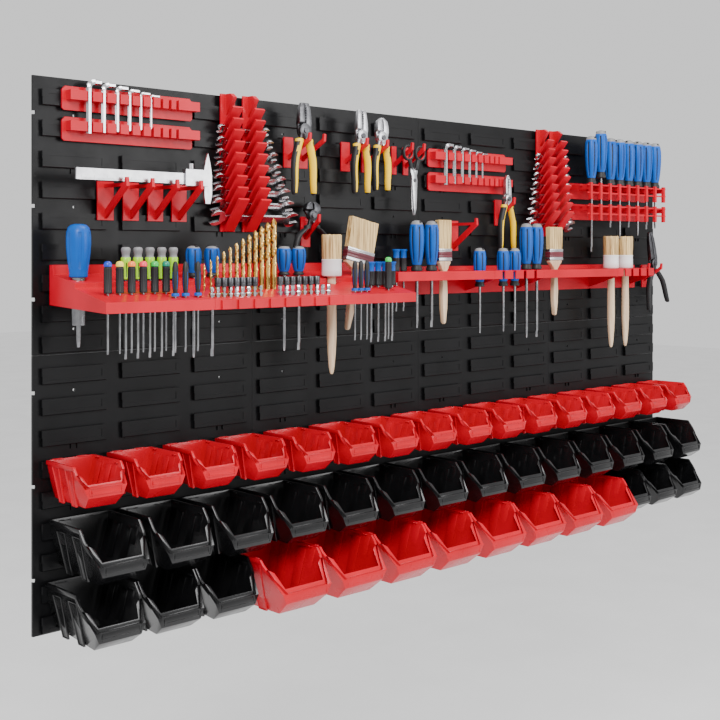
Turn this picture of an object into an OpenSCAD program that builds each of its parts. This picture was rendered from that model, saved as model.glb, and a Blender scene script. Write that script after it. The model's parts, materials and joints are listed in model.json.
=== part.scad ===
// Wall-mounted tool board: eight moulded rail panels carrying storage bins,
// tool holders, shelves and the hand tools that hang and stand in them.
// X runs along the board, +Y runs into the wall, +Z is up.
// The origin is the middle of the board's bottom edge, on the wall plane.

/* [Wall panels] */
// Width of one panel
panel_w = 384; // [330:1:460]
// Height of one panel
panel_h = 390; // [342:1:468]
// Distance from the wall to the rail faces
board_t = 10; // [9:0.5:14]
// Thickness of the panel's skin
skin_t = 2.5; // [2:0.5:3]
// Height of the raised rail bars
bar_h = 23; // [20:0.5:24]
// Depth of the groove between two rails
groove_d = 5.5; // [5:0.25:6]
// Thickness of the rail's upright lip
lip_t = 2; // [1.5:0.25:2.25]
// Depth of the slot behind the lip
slot_h = 11; // [9:0.5:12]
// Diameter of the wall screw holes
screw_d = 4.5; // [4:0.1:6]

/* [Bins] */
// Width of a small bin over its rim
small_w = 77; // [64:1:92]
// Depth of a small bin out from the rails
small_d = 96; // [80:1:115]
// Height of a small bin below the rail lip
small_h = 50; // [45:1:55]
// Width of a medium bin over its rim
medium_w = 97; // [81:1:106]
// Depth of a medium bin out from the rails
medium_d = 118; // [98:1:140]
// Height of a medium bin below the rail lip
medium_h = 58; // [53:1:62]
// Width of a large bin over its rim
large_w = 116; // [98:1:117]
// Depth of a large bin out from the rails
large_d = 150; // [125:1:180]
// Height of a large bin below the rail lip
large_h = 75; // [66:1:80]
// Thickness of a bin's walls
bin_wall = 1.8; // [1.4:0.1:2.4]

/* [Holders] */
// Length of a hex key holder
key_holder_l = 221; // [212:1:260]
// Height of a wrench rack
rack_h = 216; // [205:1:240]
// Reach of the triangular hooks
hook_reach = 62; // [56:1:74]
// Depth of the long shelf
shelf_d = 150; // [145:1:180]
// Depth of the short shelf
ledge_d = 75; // [71:1:90]
// Distance between the drivers in the driver rack
driver_pitch = 33.6; // [30:0.2:36]

/* [Hand tools] */
// Diameter of the ergonomic driver handles
handle_d = 27; // [23:0.5:28]
// Thickness of one steel half of the gripping tools
half_t = 5; // [4:0.25:6]
// Length of the caliper's beam
beam_l = 228; // [215:1:260]

/* [Hidden] */

$fn = 32;
panel_cols = 4;
panel_rows = 2;
cells_x = 3;
cells_z = 9;
board_w = panel_w * panel_cols;
cell_w = panel_w / cells_x;
cell_h = panel_h / cells_z;
seam = 0.4;
skirt_t = 2;
back_d = board_t;
bar_l = cell_w - 27;
bar_x = 12;
lip_z0 = 25.3;
slot_w = groove_d - lip_t;
tongue_t = slot_w - 1.1;
fit = 0.3;
plate_t = 3;
reds = [0.86, 0.04, 0.06];
charcoal = [0.13, 0.13, 0.14];
blues = [0.08, 0.42, 0.80];

// Place along the board, from its left edge, in cell widths of a 128 mm cell
function sx(s) = s * cell_w / 128 - board_w / 2;
// Height of the rail lip of row r, counted from the board's bottom
function lip_z(r) = r * cell_h + lip_z0;

// Moves a part to a place on the board: s along it, on the lip of rail row r
module on_rail(s, r) { translate([sx(s), -board_t, lip_z(r)]) children(); }
// Extrudes an outline of (reach, height) along X, centred
module side(w) { rotate([90, 0, -90]) linear_extrude(height = w, center = true) children(); }
// Extrudes an outline of (x, height) outwards from the rail faces
module front(d0, d1) {
    translate([0, -d0, 0]) rotate([90, 0, 0]) linear_extrude(height = d1 - d0) children();
}
// Box given by its x, reach and height limits
module slab(x0, x1, d0, d1, z0, z1) { translate([x0, -d1, z0]) cube([x1 - x0, d1 - d0, z1 - z0]); }
// Upright round bar at a reach from the rail faces
module post(x, d, z0, z1, r) { translate([x, -d, z0]) cylinder(h = z1 - z0, r = r); }

// Tongue that drops behind the rail lip, with its bridge over the lip
module tongue(w) {
    gap = (slot_w - tongue_t) / 2;
    back = -lip_t - slot_w + gap;
    side(w) polygon([[back, -7], [back + tongue_t, -7], [back + tongue_t, 0], [fit, 0],
                     [fit, 2.2], [back, 2.2]]);
}

// ---------- Wall panels ----------
module rail_bar() {
    difference() {
        union() {
            side(bar_l) polygon([[-groove_d - 0.5, -bar_h], [-1, -bar_h], [0, 1 - bar_h], [0, 0],
                                 [-lip_t, 0], [-lip_t, -slot_h], [-groove_d - 0.5, -slot_h]]);
            translate([-bar_l / 2, lip_t / 2, -slot_h]) cylinder(h = slot_h, d = lip_t, $fn = 24);
        }
        slab(-bar_l / 2 + 9, bar_l / 2 - 7, -0.6, 0.1, 6 - bar_h, -6);
    }
}

module screw_boss(x, z) {
    translate([x, 0, z]) rotate([90, 0, 0]) cylinder(h = board_t - groove_d, d = screw_d + 6);
}

function screw_x() = [cell_w / 2, panel_w - cell_w / 2];
function screw_z() = [0, 4, 7];
groove_z = lip_z0 + (cell_h - bar_h) / 2 - 0.8;

module panel(col, row) {
    face = board_t - groove_d;
    color(charcoal)
    translate([sx(0) + col * panel_w, 0, row * panel_h]) {
        difference() {
            union() {
                translate([0, -face, 0]) cube([panel_w - seam, skin_t, panel_h - seam]);
                for (x = [0, panel_w - seam - skirt_t])
                    translate([x, -face, 0]) cube([skirt_t, face, panel_h - seam]);
                for (z = [0, panel_h - seam - skirt_t])
                    translate([0, -face, z]) cube([panel_w - seam, face, skirt_t]);
                for (x = [cell_w, 2 * cell_w])
                    translate([x - 1, -face, 0]) cube([2, face, panel_h - seam]);
                for (c = [0 : cells_x - 1], r = [0 : cells_z - 1])
                    translate([c * cell_w + bar_x + bar_l / 2, -board_t, r * cell_h + lip_z0]) rail_bar();
                for (x = screw_x(), k = screw_z()) screw_boss(x, k * cell_h + groove_z);
                for (x = screw_x(), k = [3, 5], off = [-5, 5])
                    translate([x + off - 1, -face - 2, k * cell_h + lip_z0 + 13.2]) cube([2, 2.5, 6.6]);
                if (col == panel_cols - 1)
                    for (r = [0 : cells_z - 1])
                        translate([panel_w - seam - 1, -2.2, r * cell_h + 4]) cube([6, 2.2, 20]);
            }
            for (x = screw_x(), k = screw_z())
                translate([x, 1, k * cell_h + groove_z]) rotate([90, 0, 0])
                    cylinder(h = board_t + 2, d = screw_d);
            if (col == 0)
                for (z = [panel_h / 5, panel_h * 8 / 15, panel_h * 13 / 15])
                    translate([-1, -face - 1, z - 2.5]) cube([5, face + 2, 5]);
        }
    }
}

// ---------- Bins ----------
// w, d, h: width over the rim, reach and height below the lip; lip: width of the
// front lip; rise: rim above the rail lip; bend: where the rim starts to drop;
// fall: slope of rim and floor; drop: front lip below the rail lip; band: its height
module bin(w, d, h, lip, rise, bend, fall, drop, band) {
    flange = 4;
    top_w = w - 2 * flange;
    floor_w = w * 0.58;
    edge_t = 2.2;
    down_h = 6;
    fd = d * 0.83;
    leg_z = -h - fall * bend - 4;
    z_bend = rise - fall * bend;
    back = fit;
    // Side view of the space inside, grown by g towards the rim
    module inside() {
        side(w + 2) polygon([[back + bin_wall, -h + bin_wall], [fd - bin_wall, -h - fall * fd + bin_wall],
                             [d - edge_t - 0.6, -drop - band], [d - edge_t - 0.6, 20],
                                 [back + bin_wall, 20]]);
    }
    module inside_front(t) {
        front(-1, d + 2) polygon([[-floor_w / 2 + t, -h - 30], [floor_w / 2 - t, -h - 30],
                                  [floor_w / 2 - t, -h - fall * fd], [top_w / 2 - t, z_bend - down_h],
                                  [top_w / 2 - t, 25], [-top_w / 2 + t, 25],
                                  [-top_w / 2 + t, z_bend - down_h], [-floor_w / 2 + t, -h - fall * fd]]);
    }
    module hollow() {
        intersection() { inside(); inside_front(bin_wall); }
    }
    module shell() {
        intersection() {
            side(w) polygon([[back, -h], [fd, -h - fall * fd], [d - edge_t, -drop - band],
                             [d - edge_t, -drop], [bend, z_bend], [back, rise]]);
            inside_front(0);
        }
    }
    module rim() {
        intersection() {
            side(w) polygon([[back, rise], [bend, z_bend], [d, -drop], [d, -drop - band],
                             [d - 5, -drop - band], [d - 8, -drop - 2], [bend - 3, z_bend - down_h],
                             [back, rise - down_h]]);
            front(-1, d + 2) polygon([[-lip / 2, -drop - band - 1], [lip / 2, -drop - band - 1],
                [lip / 2, -drop],
                                      [w / 2, z_bend - 1], [w / 2, rise + 1], [-w / 2, rise + 1],
                                      [-w / 2, z_bend - 1], [-lip / 2, -drop]]);
        }
    }
    module leg(at, len) {
        for (m = [-1, 1])
            front(at, at + len) polygon([[m * (top_w / 2 - 2), z_bend - down_h + 1],
                                         [m * (top_w / 2 + 1.5), z_bend - down_h + 1],
                                         [m * (floor_w / 2 + 7), leg_z], [m * (floor_w / 2 + 1), leg_z],
                                         [m * (floor_w / 2 - 3), -h - fall * fd + 2]]);
    }
    module label_recess() {
        slab(-lip / 2 + 7, lip / 2 - 7, d - 0.6, d + 1, -drop - band + 2, -drop - 2);
    }
    difference() {
        union() {
            shell();
            rim();
            leg(d * 0.22, d * 0.12);
            leg(d * 0.55, d * 0.12);
            slab(-w / 2 + 5, w / 2 - 5, fit, back + bin_wall, -6, rise);
        }
        hollow();
        label_recess();
    }
    for (m = [-1, 1]) translate([m * w / 4, 0, 0.2]) tongue(w / 5);
}

module small_bin() { bin(small_w, small_d, small_h, small_w - 18, 2, small_d * 0.78, 0.037, 27.6, 10.7); }
module medium_bin() { bin(medium_w, medium_d, medium_h, medium_w - 19, 4.7, medium_d * 0.74, 0.10,
    43.7, 11.3); }
module large_bin() { bin(large_w, large_d, large_h, large_w - 21, 4.4, large_d * 0.72, 0.0, 43, 12); }

small_row = 5;
medium_row = 3;
low_row = 1;
small_first = 55.5;
small_pitch = 96.3;
medium_first = 70.5;
medium_pitch = 109.7;
low_first = 64.5;
low_pitch = 98.4;
large_first = 368;
large_pitch = 118;
low_right_first = 1302.5;

module small_row_bins(i0, i1) {
    color(reds) for (i = [i0 : i1]) on_rail(small_first + i * small_pitch, small_row) small_bin();
}
module medium_row_bins(i0, i1) {
    color(charcoal) for (i = [i0 : i1]) on_rail(medium_first + i * medium_pitch, medium_row) medium_bin();
}
module low_row_bins(first) {
    color(charcoal) for (i = [0 : 2]) on_rail(first + i * low_pitch, low_row) medium_bin();
}
module large_row_bins(i0, i1) {
    color(reds) for (i = [i0 : i1]) on_rail(large_first + i * large_pitch, low_row) large_bin();
}

// ---------- Hex keys ----------
key_count = 6;
slot_count = 9;
comb_d = 17;
comb_h = 14;
comb_depth = 9;
// Place of slot i along a key holder
function key_x(i) = 37 + 24.5 * i - 0.75 * i * i;
// Width across the flats of key i
function key_af(i) = 7 - 0.8 * i;
key_reach = comb_d - comb_depth / 2;

module key_holder() {
    difference() {
        union() {
            front(fit, fit + plate_t) polygon([[3, -28], [key_holder_l - 3, -28], [key_holder_l, -25],
                [key_holder_l, 1], [key_holder_l - 5, 6], [5, 6], [0, 1], [0, -25]]);
            slab(6, key_holder_l + 5, plate_t, comb_d, -comb_h, 0);
        }
        for (i = [0 : slot_count - 1])
            slab(key_x(i) - key_af(min(i, 5)) / 2 - 0.8, key_x(i) + key_af(min(i, 5)) / 2 + 0.8,
                 comb_d - comb_depth, comb_d + 1, -comb_h - 1, 1);
    }
    for (x = [30, key_holder_l - 30]) translate([x, 0, 0]) tongue(14);
}
module key_holder_pair(s, r) {
    color(reds) for (k = [0, 1]) on_rail(s, r - k) key_holder();
}

// One L-shaped key, long arm down, short arm along the board
module hex_key(af, arm, reach) {
    bend_r = af * 1.3;
    r = af / 2 / cos(30);
    translate([0, 0, -arm]) cylinder(h = arm - bend_r, r = r, $fn = 6);
    translate([bend_r, 0, -bend_r]) rotate([-90, 0, 0]) mirror([1, 0, 0])
        rotate([0, 0, -90]) rotate_extrude(angle = 90, $fn = 32) translate([bend_r, 0])
            rotate(30) circle(r = r, $fn = 6);
    translate([bend_r, 0, 0]) rotate([0, 90, 0]) cylinder(h = reach - bend_r, r = r, $fn = 6);
}
module hex_keys(s, r) {
    color("silver")
    on_rail(s, r) for (i = [0 : key_count - 1])
        translate([key_x(i), -key_reach, 14 - 2.2 * i]) hex_key(key_af(i), 74 - 5 * i, 19.3 - 0.95 * i);
}

// ---------- Wrench racks ----------
rack_w = 28;
rack_gap = 43.5;
arm_n = 9;
arm_rise = 50;
arm_step = 20.4;
blade_t = 4;
rack_top = 20;
wrench_t = 4.2;
wrench_n = 8;
// Height of the foot of arm i below the rail lip
function arm_z(i) = rack_top - 50 - arm_step * i;
// Length of arm i
function arm_l(i) = 38 + 3.2 * i;
// Head radius of wrench i
function head_r(i) = 8.5 + 0.85 * i;

module wrench_rack() {
    slab(0, rack_w, fit, fit + plate_t, rack_top - rack_h, rack_top);
    translate([rack_w / 2, 0, 0])
        side(8) polygon([[plate_t, rack_top], [14, rack_top], [22, rack_top - 6],
                         [plate_t, rack_top - 34]]);
    for (i = [0 : arm_n - 1])
        translate([rack_w / 2, -plate_t, arm_z(i)]) rotate([-arm_rise, 0, 0])
            translate([-rack_w / 2 + 4, -arm_l(i), -blade_t]) cube([rack_w - 8, arm_l(i), blade_t]);
    translate([rack_w / 2, 0, 0]) tongue(16);
}
module wrench_racks(s, r) {
    color(reds) for (k = [0, 1]) on_rail(s + k * rack_gap, r) wrench_rack();
}

// Double open-end wrench lying along X, its left end at 0
module wrench(len, r) {
    jaw = r * 0.95;
    linear_extrude(height = wrench_t, center = true) difference() {
        union() {
            translate([r, 0]) circle(r = r);
            translate([len - r, 0]) circle(r = r);
            translate([r, -r * 0.42]) square([len - 2 * r, r * 0.84]);
        }
        translate([r, 0]) rotate(180 - 15) translate([-r * 0.25, -jaw / 2]) square([2 * r, jaw]);
        translate([len - r, 0]) rotate(-15) translate([-r * 0.25, -jaw / 2]) square([2 * r, jaw]);
    }
}
// grow: added length of each next wrench; creep: how much further left it starts
module wrenches(s, r, grow, creep) {
    lift = 1.2 + wrench_t / 2;
    color("silver")
    on_rail(s, r) for (i = [0 : wrench_n - 1]) {
        len = 104 + grow * i;
        reach = head_r(i) + 7;
        translate([-13 - creep * i, -plate_t, arm_z(i + 1)]) rotate([-arm_rise, 0, 0])
            translate([0, -reach, lift]) wrench(len, head_r(i));
    }
}

// ---------- Hooks ----------
hook_w = 5;
hook_tip = 8;
hook_drop = 52;
module tri_hook(reach, plate_w) {
    slab(-plate_w / 2, plate_w / 2, fit, fit + plate_t, -hook_drop, 4);
    side(hook_w) polygon([[plate_t, 0], [reach - 5, 0], [reach - 4, hook_tip], [reach, hook_tip],
                          [reach + 1, -5], [plate_t, -hook_drop + 2], [plate_t, -hook_drop + 14],
                          [reach - 14, -5], [plate_t, -5]]);
    tongue(plate_w - 6);
}

// Slanted peg: rises outwards from its plate to an upright tip
peg_root = 34;
peg_t = 8;
function peg_top(reach, d) = peg_t - peg_root + (peg_root - peg_t) * (d - plate_t) / (reach - 4 - plate_t);
module peg(reach, plate_w) {
    slab(-plate_w / 2, plate_w / 2, fit, fit + plate_t, -hook_drop + 6, 4);
    side(hook_w) polygon([[plate_t, -peg_root], [reach, -5], [reach + 1, hook_tip - 1], [reach - 1,
        hook_tip],
                          [reach - 3, hook_tip - 1], [reach - 4, 0], [plate_t, peg_t - peg_root]]);
    tongue(plate_w - 6);
}

caliper_row = 14;
caliper_hook_x = 110;
caliper_hook_pitch = 42.5;
module caliper_hooks() {
    color(reds) for (i = [0 : 3])
        on_rail(caliper_hook_x + i * caliper_hook_pitch, caliper_row) tri_hook(hook_reach, 27);
}

// ---------- Caliper ----------
beam_h = 16;
beam_t = 3.5;
beam_d = hook_reach - 12;
jaw_w = 7;
slider_gap = 0.3;
slider_l = 42;
beam_right = 263;
slider_wall = 1.8;
module on_caliper() {
    on_rail(0, caliper_row) translate([0, -beam_d, slider_wall + slider_gap + 0.2]) children();
}
module caliper_beam() {
    color("silver") on_caliper() {
        slab(beam_right - beam_l, beam_right, -beam_t / 2, beam_t / 2, 0, beam_h);
        front(-beam_t / 2, beam_t / 2) polygon([[beam_right - jaw_w, 0.5], [beam_right - jaw_w, -28],
                                                [beam_right - 3, -28], [beam_right, -16], [beam_right,
                                                    0.5]]);
        front(-beam_t / 2, beam_t / 2) polygon([[beam_right - jaw_w, beam_h - 0.5], [beam_right,
            beam_h - 0.5],
                                                [beam_right - 3, beam_h + 16], [beam_right - jaw_w,
                                                    beam_h + 32]]);
    }
}
module caliper_slider() {
    x1 = beam_right - jaw_w - 0.2;
    x0 = x1 - slider_l;
    g = slider_gap;
    color("silver") on_caliper() difference() {
        union() {
            slab(x0, x1, -5, 5, -g - slider_wall, beam_h + 6);
            front(-beam_t / 2, beam_t / 2) polygon([[x1 - 6, 0], [x1, 0], [x1, -28], [x1 - 4, -28],
                [x1 - 6, -16]]);
            front(-beam_t / 2, beam_t / 2) polygon([[x1 - 7, beam_h + 5], [x1, beam_h + 5], [x1,
                beam_h + 32],
                                                    [x1 - 4, beam_h + 18]]);
        }
        slab(x0 - 1, x1 + 1, -beam_t / 2 - g, beam_t / 2 + g, -g, beam_h + g);
        translate([x0 + 12, 0, beam_h]) cylinder(h = 20, d = 4);
    }
}
module caliper_lock_screw() {
    x0 = beam_right - jaw_w - 0.2 - slider_l;
    color("gray") on_caliper() translate([x0 + 12, 0, beam_h + slider_gap + 0.1]) {
        cylinder(h = 9, d = 3.9);
        translate([0, 0, 6.2]) cylinder(h = 8, d = 8);
    }
}

// ---------- Tools with two halves ----------
grip_t = 14;
pin_clear = 0.06;
half_gap = 0.2;
// Steel half: jaw on one side of the pivot, tang on the other
module steel_half(m, layer, jaw_l, jaw_w, boss_r, tang_x, tang_z, tang_w) {
    d0 = layer * (half_t + half_gap);
    difference() {
        union() {
            front(d0, d0 + half_t) union() {
                circle(r = boss_r);
                polygon([[-m * 0.4, 0], [-m * 0.4, jaw_l], [-m * jaw_w * 0.45, jaw_l],
                         [-m * jaw_w, boss_r], [-m * boss_r, 0]]);
                polygon([[-m * boss_r * 0.6, 0], [m * boss_r * 0.8, 4], [m * (tang_x + tang_w / 2), tang_z],
                         [m * (tang_x - tang_w / 2), tang_z]]);
            }
            if (layer == 0) front(-1.5, 2 * half_t + half_gap + 1.5) circle(r = 3);
        }
        if (layer == 1) front(d0 - 1, d0 + half_t + 1) circle(r = 3 + pin_clear);
    }
}
// Grip: runs from the tang's end out and down
module grip(m, tang_x, tang_z, end_x, end_z, w) {
    mid = half_t + half_gap / 2;
    front(mid - grip_t / 2, mid + grip_t / 2) polygon([
        [m * (tang_x - w / 2), tang_z], [m * (tang_x + w / 2), tang_z],
        [m * (tang_x + (end_x - tang_x) * 0.55 + w / 2 + 2), tang_z + (end_z - tang_z) * 0.35],
        [m * (end_x + w / 2), end_z], [m * (end_x - w / 2), end_z],
        [m * (tang_x + (end_x - tang_x) * 0.55 - w / 2 + 2), tang_z + (end_z - tang_z) * 0.35]]);
}
// m: +1 for the half whose handle is on the right, -1 for the other
module tool_half(m, jaw_l, jaw_w, boss_r, tang_x, tang_z, end_x, end_z, grip_w, c) {
    color("silver") steel_half(m, m > 0 ? 0 : 1, jaw_l, jaw_w, boss_r, tang_x, tang_z, grip_w * 0.6);
    color(c) grip(m, tang_x, tang_z, end_x, end_z, grip_w);
}
// Where a two-half tool's pivot sits: along the board, reach and height above rail r
module at_pivot(s, d, r, z, lean = 0) { on_rail(s, r) translate([0, -d, z]) rotate([0, -lean, 0])
    children(); }

module pliers_half(m) { at_pivot(453, 37, 16, 12) tool_half(m, 45, 13, 12, 9, -15, 21, -104, 13, "gold"); }
module gripper_half(m) { at_pivot(580, 37, 16, 12) tool_half(m, 44, 12, 11, 9, -15, 15, -98, 12, "gold"); }
module cutter_half(m) { at_pivot(628, 37, 16, 12) tool_half(m, 34, 13, 11, 9, -15, 15, -92, 12, "gold"); }
module pincer_half(m) { at_pivot(490, 14, 13, 6) tool_half(m, 22, 16, 9, 9, -18, 38, -60, 10, charcoal); }
module long_nose_half(m) { at_pivot(984, 20, 14, 5) tool_half(m, 46, 8, 9, 8, -13, 20, -98, 11, "gold"); }
module nipper_half(m) { at_pivot(1484, 24, 11, 8, 12) tool_half(m, 70, 12, 10, 9, -18, 38, -98, 10,
    charcoal); }

// Scissors hang by their rings, blades down
module scissor_half(m) {
    layer = m > 0 ? 0 : 1;
    d0 = layer * (2 + half_gap);
    ring_z = 48;
    ring_x = 15;
    hole_r = 9;
    pivot_z = cell_h + peg_top(50, 42) + 2 - hole_r - ring_z;
    at_pivot(712, 36, 15, pivot_z) {
        color("silver") difference() {
            union() {
                front(d0, d0 + 2) polygon([[-m * 7, 0], [-m * 5, -50], [-m * 0.5, -62], [m * 2, -50],
                                           [m * 7, 6], [m * 10, 22], [m * 4, 22], [-m * 6, 8]]);
                if (layer == 0) front(-1, 6) circle(r = 2.5);
            }
            if (layer == 1) front(d0 - 1, d0 + 3) circle(r = 2.5 + pin_clear);
        }
        color(reds) front(-1.5, 6) difference() {
            union() {
                translate([m * ring_x, ring_z]) circle(r = 13.5);
                polygon([[m * 4, 22], [m * 10, 22], [m * 14, 38], [m * 4, 38]]);
            }
            translate([m * ring_x, ring_z]) circle(r = hole_r);
        }
    }
}

module tool_hooks() {
    color(reds) {
        for (s = [453, 484, 580, 628]) on_rail(s, 16) peg(58, 20);
        on_rail(490, 13) peg(38, 20);
        on_rail(984, 14) peg(44, 20);
        for (s = [697, 727]) on_rail(s, 16) peg(50, 12);
        on_rail(854, 13) tri_hook(hook_reach, 27);
        for (s = [1440, 1488.8]) on_rail(s, 11) peg(48, 20);
    }
}

// ---------- Shelves ----------
shelf_row = 11;
shelf_x = [22, 197, 440, 602];
floor_t = 2.5;
wall_t = 2.5;
tier_d = 70;
tier_z = -10;
step_h = 7;
nose_z = -34;
nose_h = 15;
shelf_top = 14;
shelf_foot = -42;
// Height of the shelf floor's top at a reach d
function shelf_floor(d) = d < tier_d ? 1 + (tier_z - 1) * d / tier_d
    : tier_z - step_h + (nose_z - tier_z + step_h) * (d - tier_d) / (shelf_d - tier_d);

module shelf_skin(w) {
    slab(-w / 2, w / 2, fit, fit + plate_t, shelf_foot, shelf_top);
    side(w) polygon([[plate_t, 1], [tier_d, tier_z], [tier_d, tier_z - step_h], [shelf_d - wall_t, nose_z],
                     [shelf_d, nose_z], [shelf_d, nose_z - nose_h], [shelf_d - wall_t, nose_z - nose_h],
                     [shelf_d - wall_t, nose_z - floor_t], [tier_d - wall_t, tier_z - step_h - floor_t],
                     [tier_d - wall_t, tier_z - floor_t], [plate_t, 1 - floor_t]]);
}
module shelf_end() {
    side(wall_t) polygon([[fit, shelf_foot], [fit, shelf_top], [8, shelf_top], [12, 0], [tier_d, tier_z],
                          [tier_d, tier_z - step_h], [shelf_d, nose_z], [shelf_d, nose_z - nose_h]]);
}
// Shelf module from s0 to s1; ends lists which ends carry an end wall
module shelf_module(s0, s1, ends) {
    w = (s1 - s0) * cell_w / 128 - seam;
    on_rail((s0 + s1) / 2, shelf_row) {
        shelf_skin(w);
        if (ends[0]) translate([-w / 2 + wall_t / 2, 0, 0]) shelf_end();
        if (ends[1]) translate([w / 2 - wall_t / 2, 0, 0]) shelf_end();
        for (x = [-w / 2 + 20, w / 2 - 20]) translate([x, 0, 0]) tongue(14);
    }
}
// Opening through the shelf floor, centred at s, from reach d0 to d1
module floor_slot(s, half, d0, d1) { on_rail(s, shelf_row) slab(-half, half, d0, d1, -60, 10); }
module floor_hole(s, d, r) { on_rail(s, shelf_row) post(0, d, -60, 10, r); }

big_s = 42;
big_d = 45;
big_collar = 10;
lime_first = 108;
lime_pitch = 20;
lime_d = 60;
fine_first = 49;
fine_pitch = 18.6;
fine_d = 110;
collar_s = [141, 158, 179];
collar_right_s = [480, 493, 506];
collar_d = 134;
green_s = 561;
green_d = 127;
shelf_pair_s = [232, 266, 406, 436.4];
shelf_pair_d = 48;
cap_first = 542;
cap_pitch = 16;
cap_d = 106;
drill_first = 214;
drill_pitch = 11.7;
drill_n = 12;
drill_d = 100;
setter_d = 136;
setter_s = [for (i = [0 : 6]) 212 + i * 11, for (i = [0 : 6]) 326 + i * 12];
bit_s = [201.5, 289, 410, 422];
round_s = 486;
round_d = 72;
wide_s = 560;
wide_d = 50;
wide_lean = 12;
// Diameter of drill i
function drill_dia(i) = 3 + 0.6 * i;

module shelf_trays() {
    color(reds) difference() {
        union() {
            shelf_module(shelf_x[0], shelf_x[1], [true, false]);
            shelf_module(shelf_x[2], shelf_x[3], [false, true]);
        }
        floor_hole(big_s, big_d, big_collar + 0.8);
        floor_slot(lime_first + 2 * lime_pitch, 44, lime_d - 4, lime_d + 4);
        floor_slot(fine_first + 2.5 * fine_pitch, 54, fine_d - 3.5, fine_d + 3.5);
        floor_slot(collar_s[1], 28, collar_d - 3.5, collar_d + 3.5);
        floor_slot(collar_right_s[1], 20, collar_d - 3.5, collar_d + 3.5);
        floor_slot(cap_first + 1.5 * cap_pitch, 32, cap_d - 4, cap_d + 4);
        floor_slot(green_s, 12, green_d - 3.5, green_d + 3.5);
        floor_slot(wide_s, 16, wide_d - 7, wide_d + 7);
        floor_hole(round_s, round_d, 8.5);
    }
}
module shelf_rack() {
    scallops = 8;
    color(reds) difference() {
        union() {
            shelf_module(shelf_x[1], shelf_x[2], [false, false]);
            on_rail((shelf_x[1] + shelf_x[2]) / 2, shelf_row)
                for (i = [0 : scallops - 1])
                    slab((i - 3.5) * 29 - 9, (i - 3.5) * 29 + 7, shelf_d - 0.1, shelf_d + 3,
                        nose_z - nose_h, nose_z - 2);
        }
        for (s = shelf_pair_s) floor_hole(s, shelf_pair_d, 5);
        for (i = [0 : drill_n - 1])
            floor_hole(drill_first + i * drill_pitch, drill_d, drill_dia(i) / 2 + 0.4);
        for (s = concat(setter_s, bit_s)) floor_hole(s, setter_d, 3.7);
    }
}

ledge_x = [636, 889, 1035, 1282, 1416];
ledge_z = -2;
ledge_band = 16;
ledge_foot = -45;
ledge_floor_d = 45;
module ledge_module(s0, s1, notched) {
    w = (s1 - s0) * cell_w / 128 - seam;
    on_rail((s0 + s1) / 2, shelf_row) {
        slab(-w / 2, w / 2, fit, fit + plate_t, ledge_foot, 6);
        slab(-w / 2, w / 2, plate_t, ledge_d, ledge_z - floor_t, ledge_z);
        slab(-w / 2, w / 2, ledge_d - wall_t, ledge_d, ledge_z - ledge_band, ledge_z);
        for (x = [-w / 2 + wall_t / 2, w / 2 - wall_t / 2])
            translate([x, 0, 0]) side(wall_t) polygon([[fit, ledge_z], [ledge_d, ledge_z],
                [ledge_d, ledge_z - ledge_band], [plate_t, ledge_foot + 4], [fit, ledge_foot + 4]]);
        for (x = [-w / 2 + 20, w / 2 - 20]) translate([x, 0, 0]) tongue(14);
    }
}
ledge_driver_s = [712, 750, 1018, 1050];
ledge_slim_s = [676, 694];
ledge_deep_s = [872.5, 940, 974];
ledge_deep_d = 52;
ledge_round_s = [1300, 1352];
ledge_flat_s = [781, 1106];
ledge_tool_d = 45;
ledge_slim_d = 30;
module ledge_cuts() {
    on_rail(0, shelf_row) {
        for (s = concat(ledge_driver_s, ledge_flat_s))
            translate([(s - 0) * cell_w / 128, 0, 0]) slab(-6, 6, ledge_tool_d - 6, ledge_tool_d + 6,
                -8, 1);
        for (s = ledge_slim_s)
            translate([s * cell_w / 128, 0, 0]) post(0, ledge_slim_d, -8, 1, 3);
        for (s = ledge_deep_s)
            translate([s * cell_w / 128, 0, 0]) post(0, ledge_deep_d, -8, 1, handle_d / 2 - 0.8);
        for (s = ledge_round_s)
            translate([s * cell_w / 128, 0, 0]) post(0, ledge_tool_d, -8, 1, 9);
    }
}
module ledge_notches(s0, s1, n) {
    pitch = (s1 - s0) / n;
    for (i = [0 : n - 1])
        on_rail(s0 + (i + 0.5) * pitch, shelf_row)
            slab(-4, 4, ledge_d - 6, ledge_d + 1, ledge_z - ledge_band - 1, 1);
}
module ledge_trays() {
    color(reds) difference() {
        union() {
            ledge_module(ledge_x[0], ledge_x[1]);
            ledge_module(ledge_x[2], ledge_x[3]);
        }
        ledge_cuts();
    }
}
module ledge_racks() {
    color(reds) difference() {
        union() {
            ledge_module(ledge_x[1], ledge_x[2]);
            ledge_module(ledge_x[3], ledge_x[4]);
        }
        ledge_cuts();
        ledge_notches(ledge_x[1] + 10, ledge_x[2] - 10, 4);
        ledge_notches(ledge_x[3] + 10, ledge_x[4] - 10, 4);
    }
}

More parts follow.
